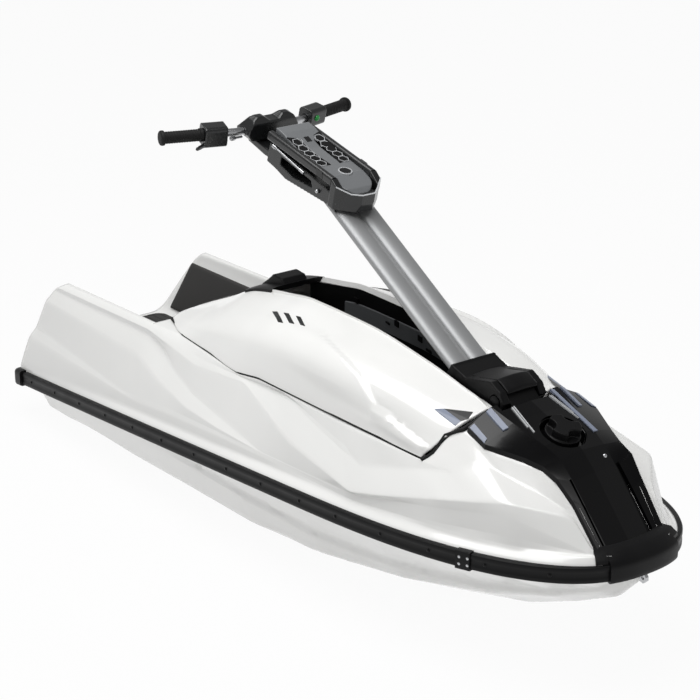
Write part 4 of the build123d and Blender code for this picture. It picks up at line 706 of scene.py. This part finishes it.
def sculpted(sheet):
    """The hood's skin moved outwards: by the bulge behind its slanted end, and below the ledge."""
    x, level = sheet[..., 0], sheet[..., 1] - sheet[..., 2]
    ahead = x - np.interp(level, BULGE_LEVELS, BULGE_ENDS)
    (low, low_reach), (high, high_reach) = BULGE_FADES
    free = smooth((level - low) / low_reach) * smooth((high - level) / high_reach)
    lift = BULGE * (1 - smooth(ahead / BULGE_RAMP + 0.5)) * smooth(1 + ahead / BULGE_LENGTH) * free
    share = np.clip((x - LEDGE_START[0]) / (LEDGE_END[0] - LEDGE_START[0]), 0, 1)
    below = (level - LEDGE_START[1] - share * (LEDGE_END[1] - LEDGE_START[1])) / LEDGE_RAMP
    lift = lift + LEDGE_OUT * smooth(below) * smooth(1.4 - below / 6) * (4 * share * (1 - share)) ** 0.5 * free
    turn = smooth((level - OUT_LEVELS[0]) / OUT_LEVELS[1])
    return sheet + lift[..., None] * np.stack([0 * turn, 0.27 + 0.7 * turn, 0.96 - 0.74 * turn], -1)


def hood_run(start, ends, count):
    """Seam, shoulder and crest of the hood from a start to their own ends, the seam lifted clear of the deck."""
    share = np.linspace(0, 1, count)
    lines = [hood_line(start + share * (end - start), column) for column, end in zip((SEAM, SHOULDER, CREST), ends)]
    return [lines[0] + (0, 0, SEAM_GAP)] + lines[1:]


back_lines = hood_run(HOOD_REAR_X, [SLOT_REAR_X] * 3, 31)
rear_x = back_lines[2][:, 0]
middle = back_lines[2] * (1, 0, 1) + (0, 0, MIDDLE_CROWN)
sunk = np.clip((rear_x - COWL_REAR_X) / (SLOT_REAR_X - COWL_REAR_X), 0, 1)
shelf = back_lines[2] * (1, 0, 1) + np.stack([0 * sunk, np.full_like(sunk, SLOT_RIM[0]), SLOT_RIM[1] * sunk], -1)
back_rows = [back_lines[0] + SEAM_LIP] + back_lines + [shelf, middle]
hood_back = sculpted(rounded(np.array(back_rows), HOOD_SHARES, SKIN_SAMPLES))
hood_back = np.concatenate([hood_back, (hood_back * (1, -1, 1))[-2::-1]])
hood_lines = hood_run(SLOT_REAR_X, HOOD_ENDS, 161)
rim, inside = [hood_lines[2] * (1, 0, 1) + (0, half, drop) for half, drop in (SLOT_RIM, SLOT_WALL)]
hood_rows = [hood_lines[0] + SEAM_LIP] + hood_lines + [rim, inside]
hood_side = sculpted(rounded(np.array(hood_rows), HOOD_SHARES, SKIN_SAMPLES))
hood_skin = skins([(hood_back, False), (hood_side, False), (hood_side, True)])
hood = placed("hood_moulding", *hood_skin, gelcoat, "white_gelcoat", "engine_hood", crease=1.0, closed=False)
laminated(hood, HOOD_SKIN)
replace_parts(hood, "hood")

# Shade of the hood's seams. A black bead runs along the deck's flange under the hood's edge, and a round cord of the
# same black is pressed into the gap in front of it, on both sides. Their black is painted shade of the gaps.
BEAD_PATH = np.array([(-495, 191, 482), (-360, 243, 484), (-212, 256, 478), (-50, 273, 471), (44, 273, 484),
                      (379, 272, 482), (539, 268, 478), (690, 255, 468), (699, 247, 471), (709, 230, 500)], float)
BEAD_PROFILE = [(-6, -1), (-1, -1), (1, 1), (1.5, 3), (1, 5), (-1, 6.5), (-6, 6.5)]
FRONT_GAP_SHADE = np.array([(692, 257, 468), (711, 236, 489), (719, 207, 530), (757, 186, 552), (766, 152, 569),
                       (768, 113, 587)], float)
FRONT_GAP_SHADE_RADIUS = 4.5
FRONT_GAP_SHADE_ACROSS = ((0.93, 0.36, 0), (-0.23, 0.6, 0.77))
# Painted shade of the gaps: a black duller and softer-looking than the rail's rubber
gap_shade_black = finish("black_gap_shade", "161616", 0.6, grain=0.2, grain_mm=1.5, drift=0.1, sheen_level=0.25)
bead_run = np.concatenate([[0], np.cumsum(np.linalg.norm(np.diff(BEAD_PATH, axis=0), axis=1))])
bead_at = np.linspace(0, bead_run[-1], 120)
bead = np.stack([np.interp(bead_at, bead_run, BEAD_PATH[:, k]) for k in range(3)], 1)
bead_out = np.tile((0.0, 1.0, 0.0), (len(bead), 1))
beads = [carried(bead, bead_out, BEAD_PROFILE, hand) for hand in (-1, 1)]
built("hood_seam_shade", beads, gap_shade_black, "black_trim", "hull")
angle = np.linspace(0, 2 * np.pi, 12, endpoint=False)
ring = FRONT_GAP_SHADE_RADIUS * np.stack([np.cos(angle), np.sin(angle)], 1) @ np.array(FRONT_GAP_SHADE_ACROSS)
front_gap_shade = FRONT_GAP_SHADE[:, None] + ring[None]
built("hood_front_gap_shade", [front_gap_shade, front_gap_shade * (1, -1, 1)], gap_shade_black, "black_trim", "hull")

# Trough and pole rest. The liner is black moulded plastic pressed into the hood's slot, with a grey strip clipped to
# each wall. The rest at its rear, under a low cowl, takes the chin of the pole.
COWL_X = np.linspace(COWL_REAR_X, -146, 9)
COWL_HALF_WIDTH = 92
COWL_LIFT = 5
COWL_BASE = 3
COWL_DEPTH = 14
STRIP_X = np.linspace(-30, 440, 25)
STRIP_DEPTHS = (49, 97)
STRIP_Y = 75.4
STRIP_THICKNESS = 3
STRIP_BEVEL = 2
# Black clips and slots on the strip: x, depth under the crest, half length, half height
CLIPS = [(20, 40, 9, 8), (195, 57, 8, 9), (292, 68, 8, 9), (158, 66, 8, 4), (328, 88, 10, 5)]
CLIP_RISE = 3
CLIP_SLANT = 3
# Moulded plastic is fine-grained: the black one barely shines, the grey one a little more
black_plastic = finish("black_moulded_plastic", "0C0C0D", 0.42, grain=0.22, grain_mm=1.6, mottle=0.07, drift=0.1,
                       sheen_level=0.17)
grey_plastic = finish("grey_moulded_plastic", "585A5C", 0.4, grain=0.2, grain_mm=1.6, mottle=0.06, drift=0.06)
softened("hood_rest", black_plastic, voxel_mm=3, rounds=3)


def crest_z(x):
    """Height of the hood's crest at x."""
    return eased(x, HOOD_ROWS[:, 0], HOOD_ROWS[:, CREST + 1])


across = np.linspace(-1, 1, 25)
crown = crest_z(COWL_X)[:, None] + COWL_LIFT * (1 - np.abs(across) ** 6)[None] + COWL_BASE
over = np.stack(np.broadcast_arrays(COWL_X[:, None], COWL_HALF_WIDTH * across[None], crown), -1)
cowl = np.concatenate([over, (over - (0, 0, COWL_DEPTH))[:, ::-1]], 1)
built("rest_cowl", [cowl], black_plastic, "black_trim", "engine_hood", crease=0.9)

strip_crest = crest_z(STRIP_X)
strip_face = STRIP_Y - STRIP_THICKNESS
strip_ring = [(STRIP_Y, STRIP_DEPTHS[0]), (strip_face, STRIP_DEPTHS[0] + STRIP_BEVEL),
              (strip_face, STRIP_DEPTHS[1] - STRIP_BEVEL), (STRIP_Y, STRIP_DEPTHS[1])]
strips, clips = [], []
for hand in (-1, 1):
    strips.append(np.stack([np.stack([STRIP_X, np.full_like(STRIP_X, hand * y), strip_crest - depth], -1)
                            for y, depth in strip_ring], 1))
    for clip_x, depth, half_length, half_height in CLIPS:
        z = crest_z(np.array([clip_x]))[0] - depth
        ring = [(clip_x - half_length, z - half_height + CLIP_SLANT), (clip_x + half_length, z - half_height),
                (clip_x + half_length, z + half_height - CLIP_SLANT), (clip_x - half_length, z + half_height)]
        clips.append([[(x, hand * y, z) for x, z in ring] for y in (STRIP_Y, strip_face - CLIP_RISE)])
built("trough_strips", strips, grey_plastic, "grey_trim", "engine_hood")
built("trough_clips", clips, black_plastic, "black_trim", "engine_hood")

# Marks on the hood. Three slanted dashes in black film on each flank, and at each front corner a black inlay with a
# grey-blue edge that runs on over the nose panel.
# Rows for the dashes: x and y of the upper end, then how far the lower end lies forward and outboard, and the width
DASHES = [(-38, 166, 76, 37, 20), (11, 164, 64, 30, 20), (61, 161, 54, 26, 18)]
DASH_PIECES = 4
DASH_SLANT = 2
DASH_LIFTS = (-2, 1.4)
# Corners of the inlay and of its edge, x and y, and how deep and how high they stand
INLAY = [(672, 171), (738, 136), (746, 158), (735, 172)]
INLAY_LIFTS = (-3, 1.4)
INLAY_EDGE = [(655, 187), (672, 171), (735, 172), (731, 186)]
INLAY_EDGE_LIFTS = (-3, 1.2)
# Film is smooth and black, the edge a satin grey-blue plastic. The same black also serves as painted shade in the holes
# of the pole's head.
film_and_hole_shade = finish("black_film_and_hole_shade", "0D0D0E", 0.35, grain=0.05, grain_mm=3, drift=0.1)
slate = finish("slate_accent_plastic", "7C8496", 0.3, grain=0.08, grain_mm=2, drift=0.05)


def hood_height(x, y):
    """Height of the hood's side skin at x and y: read across its nearest ring."""
    ring = hood_side[:, np.argmin(np.abs(hood_lines[1][:, 0] - x))]
    order = np.argsort(ring[:, 1])
    return np.interp(y, ring[order, 1], ring[order, 2])


def hood_patch(corners, lifts, hand):
    """A thin patch on the hood's skin from the x and y of its corners, sunk and raised by two lifts."""
    return [[(x, hand * y, hood_height(x, y) + lift) for x, y in corners] for lift in lifts]


dashes, inlays, inlay_edges = [], [], []
for hand in (-1, 1):
    for x, y, forward, outboard, width in DASHES:
        for piece in range(DASH_PIECES):
            low, high = piece / DASH_PIECES, (piece + 1) / DASH_PIECES
            low_end, high_end = [(x + forward * t, y + outboard * t) for t in (low, high)]
            corners = [low_end, (low_end[0] + width, low_end[1] - DASH_SLANT),
                       (high_end[0] + width, high_end[1] - DASH_SLANT), high_end]
            dashes.append(hood_patch(corners, DASH_LIFTS, hand))
    inlays.append(hood_patch(INLAY, INLAY_LIFTS, hand))
    inlay_edges.append(hood_patch(INLAY_EDGE, INLAY_EDGE_LIFTS, hand))
built("hood_dashes", dashes, film_and_hole_shade, "black_gloss", "engine_hood")
built("hood_inlays", inlays, film_and_hole_shade, "black_gloss", "engine_hood")
built("hood_accents", inlay_edges, slate, "grey_trim", "engine_hood")

# Nose panel and filler. The panel is gloss black plastic clipped over the nose, folded along a ridge, with a groove on
# each side of its middle. The three-lobed cap screws on to the filler neck in its round recess.
# Accents on the panel, one row each: x, y, z of four corners on the starboard side
ACCENTS = [
    [(776, -180, 560), (776, -166, 567), (829, -172, 548), (834, -184, 541)],
    [(776, -128, 589), (776, -114, 595), (842, -116, 566), (839, -130, 561)],
]
ACCENT_RISE = 2
BRIGHT_LINES = [
    [(797, -60, 592), (797, -57, 592.5), (886, -71, 558.5), (886, -74, 558)],
    [(797, -66, 591), (797, -63, 591.5), (866, -73, 565), (866, -76, 564.5)],
]
LINE_RISE = 1.5
# The bar beside the filler is on the port side only
PORT_BAR = np.array([(776, 79, 596), (776, 92, 592.4), (936, 88.5, 536.3), (937, 74, 538.4)])
PORT_BAR_SINK = (1, 0, 4)
PORT_BAR_RISE = (1, 0, 3)
STUD = (996, 56, 501)
STUD_NORMAL = (0.69, 0.05, 0.73)
FILLER = np.array([908.0, 0, 545.0])
FILLER_PITCH = np.radians(18.7)
FILLER_UP = np.array([np.sin(FILLER_PITCH), 0, np.cos(FILLER_PITCH)])
# Section of the recess liner: up from the panel's face, and radius
CUP = np.array([(0.6, 62.5), (1.4, 60.5), (-0.5, 58.2), (-31, 56.8), (-32.5, 33), (-33.7, 33), (-33.2, 58.2),
                (-3, 58.7), (0.6, 62.5)])
# Polished black plastic mirrors the horizon and stays dark from above. Plated trim is a soft silver.
gloss_black = finish("black_gloss_panel", "050506", 0.12, coat=0.1, grain=0.02, grain_mm=6, mottle=0.03, drift=0.1,
                     sheen_level=0.25)
bright_trim = finish("bright_plated_trim", "C9CBCD", 0.35, grain=0.05, grain_mm=1, mottle=0.05, metallic=0.3)


def panel_strips(rows, rise):
    """Thin bars standing on the nose panel, on both of its sides: four corners each, sunk below and raised above it."""
    bars = np.array(rows, float)
    bars = np.concatenate([bars, bars * (1, -1, 1)])
    return [[bar - (0.7, 0, 4), bar + (0.3 * rise, 0, rise)] for bar in bars]


built("panel_accents", panel_strips(ACCENTS, ACCENT_RISE), slate, "grey_trim", "hull")
built("panel_bar", [[PORT_BAR - PORT_BAR_SINK, PORT_BAR + PORT_BAR_RISE]], slate, "grey_trim", "hull")
built("panel_lines", panel_strips(BRIGHT_LINES, LINE_RISE), bright_trim, "stainless", "hull")
built("panel_stud", heads([STUD], [STUD_NORMAL], radius=6, height=5), stainless, "stainless", "hull")
softened("fuel_cap", black_plastic, voxel_mm=1.6, rounds=3)
cup = turned(FILLER, FILLER_UP, CUP[:, 0], CUP[:, 1], sides=64)
placed("filler_recess", cup, quads(*cup.shape[:2]).tolist(), gloss_black, "black_gloss", "hull")

# Handle pole. A drawn and anodised aluminium extrusion of two round-backed tubes with a web between, satin silver with
# fine lines along its length. It is clamped in a black moulded collar that turns on the pivot pin under a shroud.
POLE_ANGLE = np.radians(31.6)
PIVOT = np.array([742.0, 0, 588.0])
POLE_REARWARD = np.array([-np.cos(POLE_ANGLE), 0, np.sin(POLE_ANGLE)])
POLE_UP = np.array([np.sin(POLE_ANGLE), 0, np.cos(POLE_ANGLE)])
# Tubes: where they start and end along the pole, their height and half spacing, half width and half depth
TUBE_A = (128, 800)
TUBE_B = -64
TUBE_Y = 33.2
TUBE_HALF = (29.4, 15.0)
TUBE_SQUARENESS = 2.3
WEB_SHARE = 0.3
# Side view of the shroud over the pivot, along the pole and up from the pivot: outside, then back along the inside
SHROUD = np.array([(112, -30), (96, -20), (66, 8), (40, 33), (24, 35.5), (0, 35), (-7, 34), (-7, 29), (0, 29.5),
                   (20, 30), (36, 26), (92, -29)], float)
SHROUD_OUTSIDE = 6
SHROUD_HALF_WIDTH = 48.5
SHROUD_CROWN = 5
SHROUD_EDGE = 0.006
PIVOT_CAP_Y = 71.4
POLE_SCREWS = [(97, -62.6, 931), (103, -62.6, 918)]
# Anodised aluminium: satin, with highlights drawn out along the tubes
pole_alloy = finish("silver_anodised_extrusion", "9C9D9E", 0.5, metallic=0.6, grain=0.12, grain_mm=1.2, mottle=0.04,
                    drift=0.03, drawn=(0.02, 1, 1), turn=POLE_ANGLE)
softened("pole_collar", black_plastic, voxel_mm=2.5, rounds=45)
softened("pole_bracket", black_plastic, voxel_mm=3, rounds=2)


def squared(wave):
    """A circle's sine or cosine pulled towards a square: its size to the power that the superellipse asks."""
    return np.sign(wave) * np.abs(wave) ** (2 / TUBE_SQUARENESS)


angle = np.linspace(0, 2 * np.pi, 72, endpoint=False)
lobe_y, lobe_b = TUBE_HALF[0] * squared(np.cos(angle)), TUBE_HALF[1] * squared(np.sin(angle))
tubes = []
for centre, share in ((-TUBE_Y, 1), (TUBE_Y, 1), (0, WEB_SHARE)):
    ring = PIVOT + (TUBE_B + share * lobe_b)[:, None] * POLE_UP + (centre + share * lobe_y)[:, None] * (0, 1, 0)
    tubes.append([ring + a * POLE_REARWARD for a in TUBE_A])
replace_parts(built("pole_tubes", tubes, pole_alloy, "pole_alloy", "handle_pole"), "pole_extrusion")

shroud_y = np.linspace(-SHROUD_HALF_WIDTH, SHROUD_HALF_WIDTH, 13)
shroud_rise = np.where(np.arange(len(SHROUD)) < SHROUD_OUTSIDE, 1.0, 0.0)
crown = SHROUD_CROWN * (1 - (shroud_y / SHROUD_HALF_WIDTH) ** 2)[:, None] * shroud_rise[None]
shroud = (PIVOT + SHROUD[None, :, :1] * POLE_REARWARD + (SHROUD[None, :, 1:] + crown[..., None]) * POLE_UP
          + shroud_y[:, None, None] * (0, 1, 0))
shroud_piece = built("pivot_shroud", [shroud], black_plastic, "black_trim", "handle_pole", crease=0.5)
shroud_edges = shroud_piece.modifiers.new("rounded_edges", "BEVEL")
shroud_edges.width = SHROUD_EDGE
shroud_edges.segments = 3
pivot_ends = [PIVOT - (0, PIVOT_CAP_Y, 0), PIVOT + (0, PIVOT_CAP_Y, 0)]
pivot_caps = heads(pivot_ends, [(0, -1, 0), (0, 1, 0)], radius=17, height=2.4, sides=24)
built("pivot_caps", pivot_caps, black_plastic, "black_trim", "handle_pole")
pole_screws = heads(POLE_SCREWS + [(x, -y, z) for x, y, z in POLE_SCREWS], [(0, -1, 0)] * 2 + [(0, 1, 0)] * 2,
                    radius=3.6, height=2)
built("pole_screws", pole_screws, black_plastic, "black_trim", "handle_pole")

# Head of the pole. Black mouldings carry the steering rod, two black rails run along the top, and a satin grey cover
# with two vent windows lies between them. A faceted nose with a plated edge closes it in front.
HEAD_ORIGIN = np.array([81.0, 0, 1012.04])
HEAD_TILT = np.radians(14.2)
HEAD_REARWARD = np.array([-np.cos(HEAD_TILT), 0, np.sin(HEAD_TILT)])
HEAD_UP = np.array([np.sin(HEAD_TILT), 0, np.cos(HEAD_TILT)])
# Side view of the cover's top between the vents' ends: a, b
COVER_TOP = np.array([(-52, -24), (6, -12), (150, -8), (225, 8), (256, 10)], float)
# Corners of a vent window on the starboard side: a, y
WINDOW = np.array([(206, -53.5), (196, -28), (58, -15), (62, -47)], float)
WINDOW_LIFTS = (-6, 1.4)
# Honeycomb: the width of a cell, the share of it that is strut, where its first cell lies and how high it stands
CELL = 27.0
STRUT = 0.1
FIRST_CELL = (58, -60)
CELL_LIFTS = (-1, 3)
# A black patch in the cover's square hole, painted shade of the hole: corners as a and y, then how deep and how high it
# stands
COVER_HOLE_SHADE = np.array([(176, -6), (176, 10), (196, 10), (196, -6)], float)
COVER_HOLE_SHADE_LIFTS = (-4, 0.8)
# Black patches in the head rails' notches, painted shade of the holes: corners as a and b, then the y of each face
RAIL_NOTCH_SHADE = np.array([(18, -2), (44, -2), (40, -20), (14, -20)], float)
RAIL_NOTCH_SHADE_Y = (68, 74.6)
# Rim of the head's nose, from the starboard rail round the tip to the port one: a, b, y and the way out in a and y
NOSE_RIM = np.array([(-44, -15, -74, -0.75, -0.66), (-58, -21.6, -58.2, -0.75, -0.66), (-72, -28, -42.5, -0.75, -0.66),
                     (-82, -26.6, -31.2, -0.75, -0.66), (-92, -25.1, -20, -1, -0.36)], float)
NOSE_RIM = np.concatenate([NOSE_RIM, (NOSE_RIM * (1, 1, -1, 1, -1))[::-1]])
NOSE_BAND = [(0.9, 0.4), (0.9, -26), (-4, -26), (-4, 0.4)]
NOSE_EDGE = [(1.3, -0.2), (1.3, 1.6), (-2, 2), (-2, -0.2)]
# Disc on the cover: its place, and sections of the disc and of its face as distance along the axis and radius
DISC_A, DISC_Y = 17, 2.0
DISC = np.array([(-4, 19), (1.5, 19), (2.6, 18.2), (2.6, 16.6), (1.2, 16), (1.4, 8), (1.5, 0.1)])
DISC_FACE = np.array([(0.4, 15.6), (1.9, 15.4), (2.1, 0.1)])
# Steering rod and cable ball: places as a, b, y, and sections of the rod's two ends
ROD_REAR = (238, -32, -69)
ROD_FRONT = (96, -44, -69)
ROD_TAIL = np.array([(0, 0.2), (0, 6), (14, 6), (14, 4.5), (20, 4.5), (20, 3)])
ROD_HEAD = np.array([(-18, 3), (-18, 5), (0, 5), (0, 0.2)])
BALL = (34, -66, -68)
BALL_RADIUS = 6
# Satin plastics catch broad highlights. The grey one has a thin clear coat.
satin_grey = finish("satin_grey_cover", "6A6C6E", 0.3, grain=0.1, grain_mm=1.4, mottle=0.06, drift=0.05, coat=0.2)
satin_black = finish("black_satin_plastic", "161718", 0.28, grain=0.14, grain_mm=1.6, mottle=0.06, drift=0.1, coat=0.15)
softened("head_base", satin_black, voxel_mm=2.2, rounds=3)
softened("head_nose", satin_black, voxel_mm=2.2, rounds=3)
softened("head_cover", satin_grey, voxel_mm=2.2, rounds=2)


def head(a, b, y):
    """Place on the head: a to the rear along its rails, b up from them, y to port."""
    a, b, y = np.broadcast_arrays(np.asarray(a, float), b, y)
    return HEAD_ORIGIN + a[..., None] * HEAD_REARWARD + b[..., None] * HEAD_UP + y[..., None] * (0, 1, 0)


def cover_top(a):
    """Height of the cover's top along the head."""
    return np.interp(a, COVER_TOP[:, 0], COVER_TOP[:, 1])


def on_cover(outline, lift):
    """Points of an outline, given as a and y, on the cover's top raised by a lift."""
    return head(outline[:, 0], cover_top(outline[:, 0]) + lift, outline[:, 1])


def within(points, corners):
    """Which points lie inside a four-cornered outline: on the same side of all its edges."""
    edge = np.roll(corners, -1, 0) - corners
    to = points[:, None] - corners[None]
    turn = edge[None, :, 0] * to[..., 1] - edge[None, :, 1] * to[..., 0]
    return (turn > -2).all(1) | (turn < 2).all(1)


def rimmed(profile):
    """A profile carried round the nose's rim: its first number goes outwards and its second up."""
    a, b, y, out_a, out_y = NOSE_RIM.T
    return np.stack([head(a + out * out_a, b + up, y + out * out_y) for out, up in profile], 1)


angle = np.radians(30 + 60 * np.arange(6))
hexagon = CELL / np.sqrt(3) * np.stack([np.cos(angle), np.sin(angle)], 1)
column, row = np.meshgrid(np.arange(-1, 9), np.arange(-2, 4))
middles = np.stack([FIRST_CELL[0] + CELL * (column + 0.5 * (row % 2)), FIRST_CELL[1] + CELL * np.sqrt(3) / 2 * row], -1)
middles = middles.reshape(-1, 2)[within(middles.reshape(-1, 2), WINDOW)]
strut_loops = ((1, CELL_LIFTS[0]), (1, CELL_LIFTS[1]), (1 - STRUT, CELL_LIFTS[1]), (1 - STRUT, CELL_LIFTS[0]))
share = np.linspace(0, 1, 9)[:, None]
windows, cells = [], []
for hand in (-1, 1):
    border = WINDOW * (1, -hand)
    one = border[0] + share * (border[3] - border[0])
    other = border[1] + share * (border[2] - border[1])
    ring = np.concatenate([one, other[::-1]])
    windows.append([on_cover(ring, lift) for lift in WINDOW_LIFTS])
    for middle in middles * (1, -hand):
        cells.append([on_cover(middle + size * hexagon, lift) for size, lift in strut_loops])
built("vent_windows", windows, gloss_black, "black_gloss", "handle_pole")
loops, sides = len(strut_loops), len(hexagon)
honeycomb = [face for k in range(len(cells)) for face in quads(loops, sides, loops * sides * k).tolist()]
placed("vent_honeycomb", np.array(cells), honeycomb, bright_trim, "stainless", "handle_pole")
built("nose_band", [rimmed(NOSE_BAND)], satin_black, "black_trim", "handle_pole")
built("nose_edge", [rimmed(NOSE_EDGE)], bright_trim, "stainless", "handle_pole")
# Painted shade of the cover's square hole: a black patch
cover_hole_shade = [on_cover(COVER_HOLE_SHADE, lift) for lift in COVER_HOLE_SHADE_LIFTS]
built("cover_hole_shade", [cover_hole_shade], film_and_hole_shade, "black_gloss", "handle_pole")
# Painted shade of the rails' notches: black patches
notch_shades = [[head(RAIL_NOTCH_SHADE[:, 0], RAIL_NOTCH_SHADE[:, 1], hand * y) for y in RAIL_NOTCH_SHADE_Y] for hand in (-1, 1)]
built("rail_notch_shades", notch_shades, film_and_hole_shade, "black_gloss", "handle_pole")
disc_place = head(DISC_A, cover_top(DISC_A), DISC_Y)
disc, disc_face = [turned(disc_place, HEAD_UP, *section.T, sides=40) for section in (DISC, DISC_FACE)]
built("cover_disc", [disc], bright_trim, "stainless", "handle_pole")
built("cover_disc_face", [disc_face], gloss_black, "black_gloss", "handle_pole")
rod_rear, rod_front = head(*ROD_REAR), head(*ROD_FRONT)
rod = np.concatenate([ROD_TAIL, ROD_HEAD + (np.linalg.norm(rod_front - rod_rear), 0)])
rod = turned(rod_rear, rod_front - rod_rear, *rod.T, sides=16)
built("steering_rod", [rod], stainless, "stainless", "handle_pole")
ball_d = np.linspace(-BALL_RADIUS, BALL_RADIUS, 9)
ball_r = np.sqrt(np.clip(BALL_RADIUS**2 + 0.2 - ball_d**2, 0.05, None))
ball = turned(head(*BALL), (0, 1, 0), ball_d, ball_r, sides=16)
built("cable_ball", [ball], stainless, "stainless", "handle_pole")

# Handlebar. A bent steel tube under a two-lobed moulded cover, with ribbed rubber grips, the throttle housing on the
# starboard side and the switch housing on the port side.
BAR_BEND = 100
BAR_A = 362
BAR_B = -46
BAR_SWEEP = 51
BAR_END_DROP = 7
BAR_HALF_WIDTH = 312
GRIP_LENGTH = 118
GRIP_END = 10
GRIP_RADIUS = 16.5
GRIP_COLLAR = (8, 1.8)
GRIP_RIBS = 15
RIB_DEPTH = 0.9
GRIP_BORE = 12
# Section of the grip's flange: distance from its end, and radius
FLANGE = np.array([(-9, 20), (-7, 20.5), (-3, 20.5), (0, 19.5), (1.6, 17), (2, 12), (2, 2)])
# Stop bolt beside the cover, its section as distance and radius, and the lanyard switch
BOLT_PLACE = (BAR_A + 4, BAR_B - 20, -78)
BOLT = np.array([(0, 0.2), (0, 3.5), (22, 3.5), (22, 5), (26, 6.5), (34, 6.5), (38, 5), (38, 0.2)])
BUTTON = (-271, 163, 1056)
BUTTON_NORMAL = (0.94, 0.23, -0.24)
# The switch is a glossy green plastic, the grips dull ribbed rubber
lanyard_green = finish("green_lanyard_plastic", "1F8A3C", 0.35, grain=0.1, grain_mm=1.5, drift=0.08)
grip_rubber = finish("black_grip_rubber", "141414", 0.6, grain=0.35, grain_mm=1.6, mottle=0.06, drift=0.12,
                     sheen_level=0.25)
softened("bar_cover", satin_black, voxel_mm=2.5, rounds=40)
softened("throttle_housing", satin_black, voxel_mm=2, rounds=20)
softened("switch_housing", satin_black, voxel_mm=2, rounds=20)
bolt = turned(head(*BOLT_PLACE), (0, -1, 0), *BOLT.T, sides=16)
built("stop_bolt", [bolt], stainless, "stainless", "handlebar")
button = heads([BUTTON], [BUTTON_NORMAL], radius=9, height=6, sides=20)
built("lanyard_switch", button, lanyard_green, "black_trim", "handlebar")

sleeve_d = np.linspace(0, GRIP_LENGTH - GRIP_END, 151)
wave = np.cos(sleeve_d / (GRIP_LENGTH - GRIP_END) * 2 * np.pi * GRIP_RIBS)
sleeve_r = GRIP_RADIUS - RIB_DEPTH * (wave < -0.2)
sleeve_r[sleeve_d < GRIP_COLLAR[0]] = GRIP_RADIUS + GRIP_COLLAR[1]
grip_d = np.concatenate([[0], sleeve_d, GRIP_LENGTH + FLANGE[:, 0]])
grip_r = np.concatenate([[GRIP_BORE], sleeve_r, FLANGE[:, 1]])
for flank, hand in SIDES:
    bend = head(BAR_A, BAR_B, hand * BAR_BEND)
    bar_end = head(BAR_A + BAR_SWEEP, BAR_B - BAR_END_DROP, hand * BAR_HALF_WIDTH)
    outwards = (bar_end - bend) / np.linalg.norm(bar_end - bend)
    grip = turned(bar_end - GRIP_LENGTH * outwards, outwards, grip_d, grip_r)
    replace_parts(built("grip_sleeve_" + flank, [grip], grip_rubber, "grip_rubber", "handlebar"), "grip_" + flank)

# Pieces whose CAD shape is already that of the real one keep it and take their finish: the cast pump, the turned and
# bent metal, the liner, the nose panel, the rails of the head and the engine's painted block.
# Cast alloy is rough and blotched, engine paint even and dull
pump_alloy = finish("cast_pump_alloy", "8E9092", 0.5, metallic=0.9, grain=0.4, grain_mm=2, mottle=0.08, drift=0.08)
engine_paint = finish("engine_paint", "3A3B3D", 0.5, grain=0.15, grain_mm=2, mottle=0.05, drift=0.08)
looks = {
    "white_gelcoat": gelcoat, "black_gloss": gloss_black, "black_trim": black_plastic, "grey_trim": grey_plastic,
    "rail_rubber": rail_rubber, "foam_mat": foam, "grip_rubber": grip_rubber, "pole_alloy": pole_alloy,
    "pump_alloy": pump_alloy, "stainless": stainless, "engine_paint": engine_paint,
}
for part in frame["record"]["subparts"]:
    mesh = nodes[part["node"]].data
    mesh.materials.clear()
    mesh.materials.append(satin_black if part["node"] == "head_rails" else looks[part["material_slot"]])
